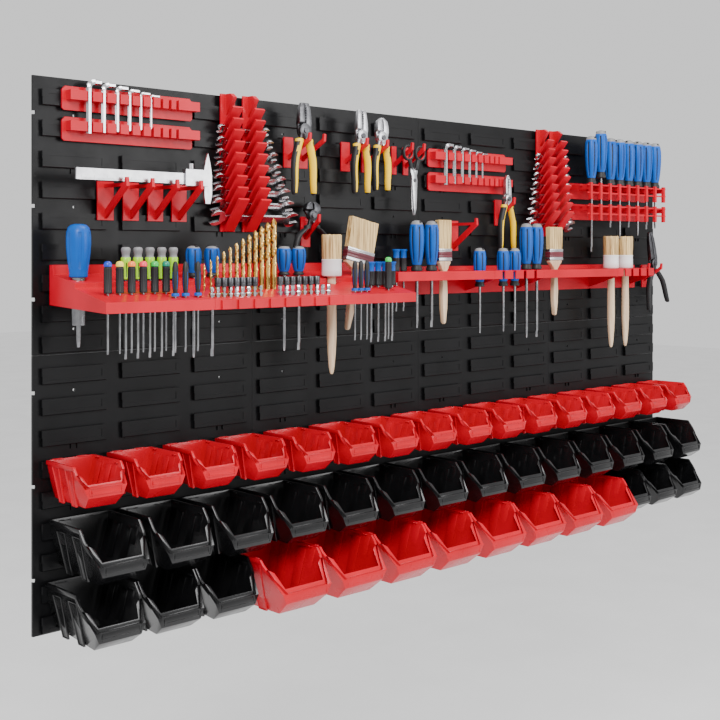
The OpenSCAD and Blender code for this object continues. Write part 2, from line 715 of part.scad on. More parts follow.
// ---------- Driver rack ----------
driver_n = 8;
driver_first = 1230;
driver_d = 45;
rod = 3;
rack_rows = [15, 14];
function driver_x(i) = driver_first * cell_w / 128 + i * driver_pitch;
module driver_rack() {
    l = (driver_n + 0.6) * driver_pitch;
    color(reds) for (r = rack_rows)
        on_rail(0, r) translate([driver_x(0) + (driver_n - 1) / 2 * driver_pitch, 0, 0]) {
            slab(-l / 2, l / 2, fit, fit + plate_t, -30, 3);
            for (d = [driver_d - 10, driver_d + 8], z = [-rod])
                slab(-l / 2, l / 2, d, d + rod, z - 1, z + rod - 1);
            slab(-l / 2, l / 2, driver_d + 8, driver_d + 8 + rod, -20, -20 + rod);
            for (i = [0 : driver_n]) translate([(i - driver_n / 2) * driver_pitch, 0, 0]) {
                slab(-2, 2, plate_t, driver_d + 9, -12, -1);
                slab(-3.5, 3.5, driver_d + 8, driver_d + 14, -32, 2);
            }
            for (x = [-l / 2 + 20, l / 2 - 20]) translate([x, 0, 0]) tongue(14);
        }
}

// Round handle of an ergonomic driver, standing on its neck at z = 0
module driver_handle(l, d) {
    rotate_extrude($fn = 32) polygon([[0, 0], [d * 0.36, 0], [d * 0.4, l * 0.1], [d * 0.4, l * 0.2],
        [d * 0.5, l * 0.5], [d * 0.5, l * 0.8], [d * 0.42, l * 0.93], [d * 0.25, l], [0, l]]);
}
module shaft(d, l) { translate([0, 0, -l]) cylinder(h = l, d = d, $fn = 16); }

rack_driver_z = -1;
rack_shaft_l = [139, 68, 88, 111, 87, 104, 90, 88];
module at_rack_driver(i) {
    on_rail(0, rack_rows[0]) translate([driver_x(i), -driver_d - 0.5,
        rack_driver_z + (i == 1 ? 14 : 0)]) children();
}
module rack_driver_handles() {
    color(blues) for (i = [0 : driver_n - 1]) at_rack_driver(i) driver_handle(100, handle_d);
}
module rack_driver_shafts() {
    color("silver") for (i = [0 : driver_n - 1]) at_rack_driver(i) shaft(5, rack_shaft_l[i]);
}

// ---------- Tools standing in the shelves ----------
module on_shelf(s, d, z) { on_rail(s, shelf_row) translate([0, -d, z]) children(); }
big_rest = shelf_floor(big_d - 14) + 0.5;
pair_rest = shelf_floor(shelf_pair_d - 9) + 0.5;
deep_drop = -32;
module shelf_driver_handles() {
    color(blues) {
        on_shelf(big_s, big_d, big_rest) driver_handle(74, 34);
        for (s = shelf_pair_s) on_shelf(s, shelf_pair_d, pair_rest) driver_handle(46, 24);
        for (s = ledge_driver_s) on_shelf(s, ledge_tool_d, ledge_z + 0.2) driver_handle(90, handle_d);
        for (s = ledge_deep_s) on_shelf(s, ledge_deep_d, deep_drop) driver_handle(72, handle_d - 2.6);
    }
}
module shelf_driver_shafts() {
    color("silver") {
        on_shelf(big_s, big_d, big_rest) { shaft(2 * big_collar, 66); shaft(7, 96); }
        for (s = shelf_pair_s) on_shelf(s, shelf_pair_d, pair_rest) shaft(6, 120);
        for (i = [0 : 3]) on_shelf(ledge_driver_s[i], ledge_tool_d, ledge_z + 0.2) shaft(6,
            i < 2 ? 100 : 132);
        for (s = ledge_deep_s) on_shelf(s, ledge_deep_d, deep_drop) shaft(5, 86);
    }
}

green_rest = shelf_floor(green_d - 6) + 0.4;
fine_rest = shelf_floor(fine_d - 6) + 0.4;
collar_rest = shelf_floor(collar_d - 6) + 0.4;
lime_rest = shelf_floor(lime_d - 7) + 0.4;
cap_rest = shelf_floor(cap_d - 7) + 0.4;
module precision_handles() {
    color(charcoal) for (i = [0 : 5])
        on_shelf(fine_first + i * fine_pitch, fine_d, fine_rest) {
            cylinder(h = 36, d = 11);
            translate([0, 0, 36]) rotate_extrude($fn = 32) polygon([[0, 0], [5.6, 0], [5.6, 3], [4, 6],
                [0, 7.5]]);
        }
    color("green") on_shelf(green_s, green_d, green_rest) {
        cylinder(h = 44, d = 11);
        translate([0, 0, 44]) rotate_extrude($fn = 32) polygon([[0, 0], [5.6, 0], [5.6, 3], [4, 6], [0,
            7.5]]);
    }
}
module cap_handle() {
    color(charcoal) cylinder(h = 24, d = 12);
    color(blues) translate([0, 0, 24])
        rotate_extrude($fn = 32) polygon([[0, 0], [5.5, 0], [5.5, 10], [7, 13], [7, 15], [0, 15]]);
}
module collar_handles() {
    for (s = concat(collar_s, collar_right_s)) on_shelf(s, collar_d, collar_rest) {
        color(blues) cylinder(h = 4, d = 11);
        color(charcoal) translate([0, 0, 4])
            rotate_extrude($fn = 32) polygon([[0, 0], [3, 0], [4.6, 20], [4.2, 38], [2, 44], [0, 44]]);
    }
    for (i = [0 : 3]) on_shelf(cap_first + i * cap_pitch, cap_d, cap_rest) cap_handle();
    for (s = ledge_slim_s) on_shelf(s, ledge_slim_d, ledge_z + 0.2) cap_handle();
}
module lime_handles() {
    color("yellowgreen") for (i = [0 : 4])
        on_shelf(lime_first + i * lime_pitch, lime_d, lime_rest) {
            cylinder(h = 26, d = 14);
            translate([0, 0, 26]) rotate_extrude($fn = 32)
                polygon([[0, 0], [7, 0], [5.5, 6], [6.8, 14], [5, 20], [0, 20]]);
        }
}
module fine_shafts() {
    color("silver") {
        for (i = [0 : 5]) on_shelf(fine_first + i * fine_pitch, fine_d, fine_rest) shaft(3, 82);
        on_shelf(green_s, green_d, green_rest) shaft(3, 82);
        for (s = ledge_slim_s) on_shelf(s, ledge_slim_d, ledge_z + 0.2) shaft(3.5, 70);
        for (s = concat(collar_s, collar_right_s)) on_shelf(s, collar_d, collar_rest) shaft(3, 78);
        for (i = [0 : 3]) on_shelf(cap_first + i * cap_pitch, cap_d, cap_rest) shaft(4, 92);
        for (i = [0 : 4]) on_shelf(lime_first + i * lime_pitch, lime_d, lime_rest) shaft(4, 112);
    }
}

drill_foot = -30;
module drill_bits() {
    color("goldenrod") for (i = [0 : drill_n - 1])
        on_shelf(drill_first + i * drill_pitch, drill_d, drill_foot)
            cylinder(h = 44 + 6.3 * i, d = drill_dia(i), $fn = 24);
}
setter_rest = shelf_floor(setter_d - 5) + 0.4;
module bit() {
    translate([0, 0, -9]) cylinder(h = 21, d = 6.6, $fn = 6);
    cylinder(h = 3, d = 8.6);
}
module nut_setters() {
    color("dimgray") {
        for (s = setter_s) on_shelf(s, setter_d, setter_rest) {
            bit();
            translate([0, 0, 12]) cylinder(h = 13, d = 10);
        }
        for (s = bit_s) on_shelf(s, setter_d, setter_rest) bit();
    }
}

// ---------- Brushes ----------
ring_h = 28;
hair_h = 40;
ledge_rest = ledge_z + 0.3;
shelf_rest = shelf_floor(round_d - 17) + 0.5;
module round_brush_handle(l) {
    cylinder(h = ring_h, d = 33);
    rotate([180, 0, 0]) rotate_extrude($fn = 32)
        polygon([[0, 0], [7, 0], [7.5, l * 0.3], [8, l * 0.6], [5, l * 0.92], [2, l], [0, l]]);
}
module flat_brush_handle(w, l) {
    front(-6, 6) polygon([[-w / 2, 18], [w / 2, 18], [w / 2, 40], [-w / 2, 40]]);
    front(-5, 5) polygon([[-9, 0], [9, 0], [w / 2 - 2, 14], [w / 2 - 2, 18.2],
                            [-w / 2 + 2, 18.2], [-w / 2 + 2, 14]]);
    front(-5, 5) polygon([[-5, 0.2], [5, 0.2], [7, -l * 0.45], [6, -l * 0.7], [1.5, -l], [-1.5, -l],
        [-6, -l * 0.7],
                          [-7, -l * 0.45]]);
}
module at_wide() {
    on_shelf(wide_s, wide_d, shelf_floor(wide_d - 7) + 0.4 + 9 * sin(wide_lean)) rotate([0, wide_lean,
        0]) children();
}
module brush_handles() {
    color("wheat") {
        on_shelf(round_s, round_d, shelf_rest) round_brush_handle(158);
        for (s = ledge_round_s) on_shelf(s, ledge_tool_d, ledge_rest) round_brush_handle(166);
        on_shelf(ledge_flat_s[0], ledge_tool_d, ledge_rest) flat_brush_handle(34, 96);
        on_shelf(ledge_flat_s[1], ledge_tool_d, ledge_rest) flat_brush_handle(42, 92);
        at_wide() flat_brush_handle(62, 96);
    }
}
module brush_bristles() {
    color("tan") {
        on_shelf(round_s, round_d, shelf_rest) translate([0, 0, ring_h]) cylinder(h = hair_h, d = 34);
        for (s = ledge_round_s)
            on_shelf(s, ledge_tool_d, ledge_rest) translate([0, 0, ring_h]) cylinder(h = hair_h, d = 35);
        on_shelf(ledge_flat_s[0], ledge_tool_d, ledge_rest) slab(-17, 17, -5, 5, 40, 92);
        on_shelf(ledge_flat_s[1], ledge_tool_d, ledge_rest) slab(-21, 21, -5, 5, 40, 84);
        at_wide() slab(-31, 31, -5, 5, 40, 92);
    }
}

panel(0, 1);  // panel_top_1
panel(1, 1);  // panel_top_2
panel(2, 1);  // panel_top_3
panel(3, 1);  // panel_top_4
panel(0, 0);  // panel_bottom_1
panel(1, 0);  // panel_bottom_2
panel(2, 0);  // panel_bottom_3
panel(3, 0);  // panel_bottom_4
small_row_bins(0, 7);  // small_bins_left
small_row_bins(8, 15);  // small_bins_right
medium_row_bins(0, 6);  // medium_bins_left
medium_row_bins(7, 13);  // medium_bins_right
low_row_bins(low_first);  // low_bins_left
large_row_bins(0, 3);  // large_bins_left
large_row_bins(4, 7);  // large_bins_right
low_row_bins(low_right_first);  // low_bins_right
key_holder_pair(40, 17);  // key_holders_left
key_holder_pair(785, 16);  // key_holders_right
hex_keys(40, 17);  // hex_keys_left
hex_keys(785, 16);  // hex_keys_right
wrench_racks(315, 17);  // wrench_racks_left
wrench_racks(1103, 17);  // wrench_racks_right
wrenches(315, 17, 10.5, 2.4);  // wrenches_left
wrenches(1103, 17, 7, 4.6);  // wrenches_right
caliper_hooks();
caliper_beam();
caliper_slider();
caliper_lock_screw();
tool_hooks();
pliers_half(1);  // pliers_fixed_half
pliers_half(-1);  // pliers_moving_half
gripper_half(1);  // gripper_fixed_half
gripper_half(-1);  // gripper_moving_half
cutter_half(-1);  // cutter_fixed_half
cutter_half(1);  // cutter_moving_half
pincer_half(-1);  // pincer_fixed_half
pincer_half(1);  // pincer_moving_half
scissor_half(1);  // scissor_fixed_half
scissor_half(-1);  // scissor_moving_half
long_nose_half(1);  // long_nose_fixed_half
long_nose_half(-1);  // long_nose_moving_half
nipper_half(1);  // nipper_fixed_half
nipper_half(-1);  // nipper_moving_half
shelf_trays();
shelf_rack();
ledge_trays();
ledge_racks();
driver_rack();
rack_driver_handles();
rack_driver_shafts();
shelf_driver_handles();
shelf_driver_shafts();
precision_handles();
collar_handles();
lime_handles();
fine_shafts();
drill_bits();
nut_setters();
brush_handles();
brush_bristles();
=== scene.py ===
import json
import math

import bpy
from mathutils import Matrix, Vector


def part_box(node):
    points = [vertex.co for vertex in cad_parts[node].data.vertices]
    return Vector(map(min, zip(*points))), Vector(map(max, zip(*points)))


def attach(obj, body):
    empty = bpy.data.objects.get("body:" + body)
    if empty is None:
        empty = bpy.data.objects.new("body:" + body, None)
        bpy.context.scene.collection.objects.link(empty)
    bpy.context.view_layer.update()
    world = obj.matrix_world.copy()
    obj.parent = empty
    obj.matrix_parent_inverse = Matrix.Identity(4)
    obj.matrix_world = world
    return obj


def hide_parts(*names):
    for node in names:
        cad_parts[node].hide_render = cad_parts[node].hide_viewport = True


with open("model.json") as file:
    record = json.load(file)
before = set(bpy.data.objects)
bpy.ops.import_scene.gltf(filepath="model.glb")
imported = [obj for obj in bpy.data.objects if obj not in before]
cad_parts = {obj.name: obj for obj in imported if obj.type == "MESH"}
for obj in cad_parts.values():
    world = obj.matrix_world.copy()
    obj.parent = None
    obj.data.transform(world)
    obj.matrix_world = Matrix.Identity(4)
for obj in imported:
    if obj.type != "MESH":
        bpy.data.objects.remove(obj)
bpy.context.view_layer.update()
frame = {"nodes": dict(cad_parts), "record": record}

MM = 0.001
SAME = 0.00001  # corners nearer than this, in metres, are one corner
scene = bpy.context.scene


# ---------- Finishes ----------
def new_finish(name, color, roughness, metallic=0.0, coat=0.0, shine=0.5):
    """A finish with its plain colour and gloss on the shader's own sockets."""
    m = bpy.data.materials.new(name)
    m.use_nodes = True
    b = m.node_tree.nodes["Principled BSDF"]
    b.inputs["Base Color"].default_value = (*color, 1)
    b.inputs["Roughness"].default_value = roughness
    b.inputs["Metallic"].default_value = metallic
    b.inputs["Coat Weight"].default_value = coat
    b.inputs["Coat Roughness"].default_value = 0.12
    b.inputs["Specular IOR Level"].default_value = shine
    return m


def node(m, kind, **values):
    """A shader node with its sockets or settings filled in by name."""
    n = m.node_tree.nodes.new(kind)
    for k, v in values.items():
        if k in n.inputs:
            n.inputs[k].default_value = v
        else:
            setattr(n, k.lower(), v)
    return n


def link(m, a, out, b, into):
    m.node_tree.links.new(a.outputs[out], b.inputs[into])


def place(m, stretch=(1, 1, 1)):
    """Object coordinates, stretched along one direction for grain or brushing."""
    where = node(m, "ShaderNodeTexCoord")
    mapping = node(m, "ShaderNodeMapping", Scale=stretch)
    link(m, where, "Object", mapping, "Vector")
    return mapping


def speckle(m, size, detail=4.0, stretch=(1, 1, 1)):
    """Noise of a size given in grains per metre."""
    n = node(m, "ShaderNodeTexNoise", Scale=size, Detail=detail)
    link(m, place(m, stretch), "Vector", n, "Vector")
    return n


def vary_color(m, noise, dark, light, low=0.3, high=0.7):
    """Lets the colour drift between a dark and a light shade with the noise."""
    ramp = node(m, "ShaderNodeValToRGB")
    for stop, position, shade in zip(ramp.color_ramp.elements, (low, high), (dark, light)):
        stop.position = position
        stop.color = (*shade, 1)
    link(m, noise, "Fac", ramp, "Fac")
    link(m, ramp, "Color", m.node_tree.nodes["Principled BSDF"], "Base Color")


def vary_gloss(m, noise, low, high):
    """Lets the roughness drift between two values, as handling leaves it."""
    r = node(m, "ShaderNodeMapRange")
    r.inputs["To Min"].default_value = low
    r.inputs["To Max"].default_value = high
    link(m, noise, "Fac", r, "Value")
    link(m, r, "Result", m.node_tree.nodes["Principled BSDF"], "Roughness")


def relief(m, noise, strength, distance=0.0002):
    """A fine grain that stands proud by a distance in metres."""
    b = node(m, "ShaderNodeBump", Strength=strength, Distance=distance)
    link(m, noise, "Fac", b, "Height")
    link(m, b, "Normal", m.node_tree.nodes["Principled BSDF"], "Normal")


def moulded(name, dark, light, low, high, grain=900, strength=0.12, coat=0.0, shine=0.35):
    """Moulded plastic: faint cloudy colour, handled gloss, fine spark-eroded grain."""
    m = new_finish(name, light, high, coat=coat, shine=shine)
    vary_color(m, speckle(m, 14, 5), dark, light)
    vary_gloss(m, speckle(m, 38, 6), low, high)
    relief(m, speckle(m, grain, 3), strength)
    return m


def metal(name, dark, light, low, high, stretch=(1, 1, 1), size=260, strength=0.08):
    """Plated or ground steel: soft cloudiness and a fine directional grain."""
    m = new_finish(name, light, high, metallic=1.0)
    vary_color(m, speckle(m, 60, 4), dark, light)
    vary_gloss(m, speckle(m, size, 5, stretch), low, high)
    relief(m, speckle(m, size * 1.6, 4, stretch), strength, 0.0001)
    return m


board_black = moulded("board_black", (0.0026, 0.0026, 0.0029), (0.0054, 0.0054, 0.0060),
                      0.24, 0.42, 1100, 0.16, shine=0.17)
bin_red = moulded("bin_red", (0.41, 0.0004, 0.008), (0.53, 0.0008, 0.014),
                  0.22, 0.34, 1300, 0.06, coat=0.04, shine=0.25)
bin_black = moulded("bin_black", (0.0030, 0.0030, 0.0034), (0.0065, 0.0065, 0.007),
                    0.14, 0.28, 1300, 0.05, coat=0.15)
holder_red = moulded("holder_red", (0.42, 0.0004, 0.010), (0.54, 0.0008, 0.017),
                     0.26, 0.40, 1100, 0.10, shine=0.22)
grip_blue = moulded("grip_blue", (0.0008, 0.062, 0.32), (0.0016, 0.092, 0.42),
                    0.30, 0.42, 800, 0.10, shine=0.2)
grip_blue_dark = moulded("grip_blue_dark", (0.003, 0.06, 0.26), (0.004, 0.08, 0.34), 0.38, 0.52, 600, 0.25)
grip_black = moulded("grip_black", (0.008, 0.008, 0.009), (0.016, 0.016, 0.017), 0.42, 0.58, 700, 0.22)
grip_grey = moulded("grip_grey", (0.15, 0.15, 0.155), (0.22, 0.22, 0.225), 0.38, 0.52, 700, 0.2)
grip_yellow = moulded("grip_yellow", (0.78, 0.46, 0.003), (0.86, 0.56, 0.008), 0.32, 0.44, 800, 0.10)
lime_plastic = moulded("lime_plastic", (0.24, 0.56, 0.006), (0.36, 0.68, 0.010), 0.25, 0.36, 800, 0.08)
ferrule_white = moulded("ferrule_white", (0.70, 0.70, 0.69), (0.80, 0.80, 0.79), 0.22, 0.34, 600, 0.05)
ferrule_maroon = moulded("ferrule_maroon", (0.09, 0.012, 0.02), (0.15, 0.02, 0.03),
                         0.28, 0.4, 500, 0.08, coat=0.2)
cap_blue, cap_yellow, cap_orange, cap_pink, cap_green, cap_teal = [
    moulded(f"cap_{name}", dark, light, 0.22, 0.34, 700, 0.06, coat=0.1)
    for name, dark, light in (
        ("blue", (0.006, 0.03, 0.36), (0.010, 0.05, 0.48)),
        ("yellow", (0.72, 0.54, 0.04), (0.84, 0.66, 0.07)),
        ("orange", (0.76, 0.16, 0.015), (0.88, 0.22, 0.03)),
        ("pink", (0.76, 0.03, 0.06), (0.88, 0.06, 0.10)),
        ("green", (0.01, 0.40, 0.05), (0.02, 0.52, 0.08)),
        ("teal", (0.004, 0.17, 0.10), (0.008, 0.24, 0.14)),
    )
]
chrome_plate = metal("chrome_plate", (0.40, 0.40, 0.42), (0.62, 0.62, 0.64), 0.10, 0.26)
shaft_steel = metal("shaft_steel", (0.20, 0.20, 0.21), (0.34, 0.34, 0.35), 0.18, 0.32)
satin_steel = metal("satin_steel", (0.44, 0.44, 0.46), (0.64, 0.64, 0.66), 0.24, 0.40, (1, 8, 1))
jaw_steel = metal("jaw_steel", (0.07, 0.07, 0.075), (0.17, 0.17, 0.18), 0.26, 0.42)
dark_steel = metal("dark_steel", (0.055, 0.055, 0.06), (0.13, 0.13, 0.14), 0.30, 0.46)
drill_gold = metal("drill_gold", (0.56, 0.33, 0.08), (0.84, 0.57, 0.20), 0.16, 0.32)


def wood_finish():
    """Pale wood with its grain along the handle."""
    m = new_finish("brush_wood", (0.62, 0.44, 0.28), 0.5)
    grain = speckle(m, 55, 6, (6, 6, 0.35))
    vary_color(m, grain, (0.50, 0.33, 0.19), (0.74, 0.57, 0.39), 0.3, 0.72)
    vary_gloss(m, grain, 0.42, 0.6)
    relief(m, speckle(m, 160, 5, (5, 5, 0.3)), 0.25, 0.0002)
    return m


def bristle_finish():
    """Straw-coloured hair in fine upright streaks."""
    m = new_finish("bristle_straw", (0.68, 0.48, 0.22), 0.6)
    hairs = speckle(m, 420, 5, (1, 1, 0.045))
    vary_color(m, hairs, (0.26, 0.145, 0.04), (0.72, 0.50, 0.22), 0.34, 0.62)
    vary_gloss(m, hairs, 0.45, 0.7)
    relief(m, hairs, 0.9, 0.0009)
    return m


brush_wood = wood_finish()
bristle_straw = bristle_finish()

NODE_FINISH = {
    "panel": board_black, "red_bin": bin_red, "black_bin": bin_black, "red_holder": holder_red,
    "chrome_tool": chrome_plate, "caliper_steel": satin_steel, "plier_half": grip_yellow,
    "pincer_half": grip_black, "scissor_half": satin_steel, "blue_handle": grip_blue,
    "black_handle": grip_black, "lime_handle": lime_plastic, "driver_shaft": chrome_plate,
    "drill_gold": drill_gold, "setter_steel": dark_steel, "brush_wood": brush_wood,
    "bristle": bristle_straw,
}
slot_of = {s["node"]: s["material_slot"] for s in frame["record"]["subparts"]}


def dress(name, finish):
    """Gives a CAD node its finish and softly rounded moulded or ground edges."""
    o = frame["nodes"][name]
    o.data.materials.clear()
    o.data.materials.append(finish)
    weld = o.modifiers.new("weld", "WELD")
    weld.merge_threshold = SAME
    bevel = o.modifiers.new("edge", "BEVEL")
    bevel.width = 0.5 * MM
    bevel.segments = 2
    bevel.limit_method = "ANGLE"
    bevel.angle_limit = math.radians(40)
    bevel.harden_normals = True
    for p in o.data.polygons:
        p.use_smooth = False


# ---------- Ways of making a piece ----------
def only(o):
    """Selects one object and nothing else."""
    bpy.ops.object.select_all(action="DESELECT")
    o.select_set(True)
    bpy.context.view_layer.objects.active = o


def named(name):
    """The primitive just added, with its place put into its mesh."""
    o = bpy.context.object
    o.name = name
    only(o)
    bpy.ops.object.transform_apply(location=True, rotation=True, scale=True)
    return o


def at(x, d, z):
    """A point from millimetres across, in front and up."""
    return (x * MM, -d * MM, z * MM)


def leave():
    """Back to object mode, where the mesh can be read."""
    bpy.ops.object.mode_set(mode="OBJECT")


def pick(o, kind="FACE", test=None):
    """Goes into edit mode with the faces, edges or corners selected that pass the test."""
    only(o)
    me = o.data
    for group in (me.polygons, me.edges, me.vertices):
        group.foreach_set("select", [False] * len(group))
    for item in {"FACE": me.polygons, "EDGE": me.edges, "VERT": me.vertices}[kind]:
        item.select = test is None or bool(test(item))
    bpy.ops.object.mode_set(mode="EDIT")
    bpy.ops.mesh.select_mode(type=kind)


def face_out(o):
    """Turns every face outwards."""
    pick(o)
    bpy.ops.mesh.normals_make_consistent(inside=False)
    leave()


def apply_all(o):
    """Applies the modifiers in their order."""
    only(o)
    for m in list(o.modifiers):
        bpy.ops.object.modifier_apply(modifier=m.name)


def soften(o, width, segments=2, angle=32):
    """Rounds the edges, then shades the flats between them evenly."""
    b = o.modifiers.new("round", "BEVEL")
    b.width = width * MM
    b.segments = segments
    b.limit_method = "ANGLE"
    b.angle_limit = math.radians(angle)
    apply_all(o)
    bpy.ops.object.shade_smooth_by_angle(angle=math.radians(38))
    return o


def block(name, x0, x1, d0, d1, z0, z1):
    """A block by its limits in millimetres, to be shaped further."""
    bpy.ops.object.select_all(action="DESELECT")
    bpy.ops.mesh.primitive_cube_add(size=1, location=at((x0 + x1) / 2, (d0 + d1) / 2, (z0 + z1) / 2),
                                    scale=(abs(x1 - x0) * MM, abs(d1 - d0) * MM, abs(z1 - z0) * MM))
    return named(name)


def limb(name, stations, sides=4):
    """A bar drawn along its length: each station is (x, d, z, width across, thickness)."""
    bpy.ops.object.select_all(action="DESELECT")
    x, d, z, w, t = stations[0]
    if sides == 4:
        bpy.ops.mesh.primitive_plane_add(size=1, location=at(x, d, z))
    else:
        bpy.ops.mesh.primitive_circle_add(vertices=sides, radius=0.5, fill_type="NGON",
                                          location=at(x, d, z))
    o = bpy.context.object
    o.scale = (w * MM, t * MM, 1)
    o = named(name)
    pick(o)
    for x1, d1, z1, w1, t1 in stations[1:]:
        bpy.ops.mesh.extrude_region_move(
            TRANSFORM_OT_translate={"value": at(x1 - x, d1 - d, z1 - z)})
        bpy.ops.transform.resize(value=(w1 / w, t1 / t, 1), center_override=at(x1, d1, z1))
        x, d, z, w, t = x1, d1, z1, w1, t1
    leave()
    face_out(o)
    return o


def turned(name, outline, sides=20):
    """A turned piece: a disc drawn up ring by ring along an outline of (radius, height)."""
    o = limb(name, [(0, 0, z, 2 * r, 2 * r) for r, z in outline], sides)
    only(o)
    bpy.ops.object.shade_smooth_by_angle(angle=math.radians(40))
    return o


def joined(name, parts):
    """Joins pieces into the first one, under a new name."""
    only(parts[0])
    for o in parts:
        o.select_set(True)
    bpy.ops.object.join()
    bpy.context.object.name = name
    return bpy.context.object


def finish_with(o, *finishes):
    """Gives a piece its finishes, the first one all over."""
    o.data.materials.clear()
    for f in finishes:
        o.data.materials.append(f)
    return o


def moved(o, x=0.0, d=0.0, z=0.0, turn=(0, 0, 0), grow=(1, 1, 1)):
    """Puts a finished piece at its place and angle, in its mesh."""
    o.location = at(x, d, z)
    o.scale = grow
    o.rotation_euler = [math.radians(a) for a in turn]
    only(o)
    bpy.ops.object.transform_apply(location=True, rotation=True, scale=True)
    return o


def copied(master, name, **where):
    """A copy with its own mesh, moved to its place."""
    c = master.copy()
    c.data = master.data.copy()
    c.name = name
    scene.collection.objects.link(c)
    return moved(c, **where)


def put_away(*masters):
    """Removes the models that the copies were taken from."""
    for o in masters:
        bpy.data.objects.remove(o, do_unlink=True)


stood_for = set()  # CAD nodes that a new piece has replaced


def hand_over(o, body, slot, *nodes):
    """The body it rides on and the nodes it stands for; the slot is not used."""
    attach(o, body)
    if nodes:
        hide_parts(*nodes)
        stood_for.update(nodes)
    return o


# ---------- Places on the board, in millimetres ----------
FACE = 10  # from the wall to the front of the rails
HALF = 768  # half of the width of four panels
CELL = 390 / 9  # height of one rail
LIP = 25.3  # from the foot of a rail to its hooking lip


def lip_z(row):
    """Height of the lip that a row of holders or bins hooks over."""
    return row * CELL + LIP


# ---------- Storage bins ----------
RIM = 2.2  # how far the rim stands out over the front
HEM = 5.5  # how far the rim turns down


def storage_bin(name, w, d, h, lip, rise, bend, fall, drop, band, finish):
    """Tapered tub with a flanged rim, a front band with a label window, and flared legs.

    w, d, h: width over the rim, reach from the board, depth below the hooks. lip: width of the
    front band. rise: rim above the hooks. bend: reach at which the level rim turns down. fall:
    slope of rim and floor. drop: front edge below the hooks. band: height of the front band.
    """
    top = w - 8
    floor = w * 0.58
    toe = d * 0.83
    z_toe = -h - fall * toe
    z_bend = rise - fall * bend
    front = d - RIM
    middle = Vector(at(0, d * 0.4, -h * 0.5))

    def half_at(z):
        """Half of the tub's width at a height."""
        return floor / 2 + (top - floor) / 2 * min(1, (z - z_toe) / (z_bend - 6 - z_toe))

    o = block(name, -top / 2, top / 2, 0.3, front, z_toe - 1, rise)

    def trim(point, along, across):
        """Cuts away what lies beyond the plane through a point and two directions."""
        n = Vector(at(*along)).cross(Vector(at(*across))).normalized()
        if (middle - Vector(at(*point))).dot(n) > 0:
            n = -n
        pick(o)
        bpy.ops.mesh.bisect(plane_co=at(*point), plane_no=n, use_fill=True, clear_outer=True)
        leave()

    trim((0, bend, z_bend), (1, 0, 0), (0, d - bend, -drop - z_bend))
    trim((0, toe, z_toe), (1, 0, 0), (0, front - toe, -drop - band - z_toe))
    trim((0, 0, -h), (1, 0, 0), (0, toe, z_toe + h))
    for m in (-1, 1):
        trim((m * top / 2, 0, z_bend - 6), (0, 1, 0), (m * (floor - top) / 2, 0, z_toe - z_bend + 6))
    pick(o)
    bpy.ops.mesh.remove_doubles(threshold=SAME)
    bpy.ops.mesh.dissolve_limited(angle_limit=math.radians(0.5))
    bpy.ops.mesh.normals_make_consistent(inside=False)
    leave()
    # the broad flat rim down the slope is drawn on the slope itself, then taken off as its own wall
    start = 0.28
    rim_d = bend + (d - bend) * start

    def sloped(p):
        return p.normal.z > 0.2 and p.normal.y < -0.2

    def low_part(p):
        return sloped(p) and p.center.y < -(rim_d + 3) * MM

    pick(o, "FACE", sloped)
    bpy.ops.mesh.bisect(plane_co=at(0, rim_d, z_bend - (drop + z_bend) * start), plane_no=(0, -1, 0))
    leave()
    pick(o, "FACE", low_part)
    bpy.ops.mesh.inset(thickness=w * 0.062 * MM, depth=0)
    leave()
    inner = [p.index for p in o.data.polygons if p.select]

    def rim_face(p):
        return low_part(p) and p.index not in inner and p.center.y <= -(rim_d + w * 0.05) * MM

    pick(o, "FACE", rim_face)
    bpy.ops.mesh.duplicate()
    bpy.ops.mesh.separate(type="SELECTED")
    leave()
    rim = [k for k in bpy.context.selected_objects if k is not o][0]
    # open the mouth
    pick(o, "FACE", lambda p: p.normal.z > 0.2)
    bpy.ops.mesh.delete(type="FACE")
    leave()
    # flange: out over the sides and the front, then turned down
    uses = {}
    for p in o.data.polygons:
        for k in p.edge_keys:
            uses[k] = uses.get(k, 0) + 1

    def open_edge(e):
        at_back = all(o.data.vertices[i].co.y > -0.4 * MM for i in e.vertices)
        return uses.get(e.key, 0) == 1 and not at_back

    pick(o, "EDGE", open_edge)
    bpy.ops.mesh.extrude_edges_move()
    bpy.ops.transform.resize(value=(w / top, 1, 1), center_override=(0, 0, 0))
    leave()
    outer = {v.index for v in o.data.vertices if v.select}
    pick(o, "VERT", lambda v: v.index in outer and v.co.y < -(front - 0.2) * MM)
    bpy.ops.transform.translate(value=at(0, RIM, 0))
    bpy.ops.transform.resize(value=(lip / w, 1, 1), center_override=(0, 0, 0))
    leave()
    ring = [e.key for e in o.data.edges if set(e.vertices) <= outer]
    pick(o, "EDGE", lambda e: e.key in ring)
    bpy.ops.mesh.extrude_edges_move(TRANSFORM_OT_translate={"value": at(0, 0, -HEM)})
    leave()
    hem = {v.index for v in o.data.vertices if v.select}
    pick(o, "VERT", lambda v: v.index in hem and v.co.y < -(d - 0.1) * MM)
    bpy.ops.transform.translate(value=at(0, 0, HEM - band))
    leave()
    face_out(o)
    # label window in the front band
    pick(o, "FACE", lambda p: p.normal.y < -0.9 and p.center.y < -(d - 0.5) * MM)
    bpy.ops.mesh.inset(thickness=1.6 * MM, depth=0)
    bpy.ops.mesh.inset(thickness=0.3 * MM, depth=-0.8 * MM)
    leave()
    for k, thick in ((o, 1.6), (rim, 1.4)):
        face_out(k)
        wall = k.modifiers.new("wall", "SOLIDIFY")
        wall.thickness = thick * MM
        wall.offset = -1
        wall.use_even_offset = k is o
        apply_all(k)
        face_out(k)
        soften(k, 0.5, 2, 28)
    parts = [o, rim]
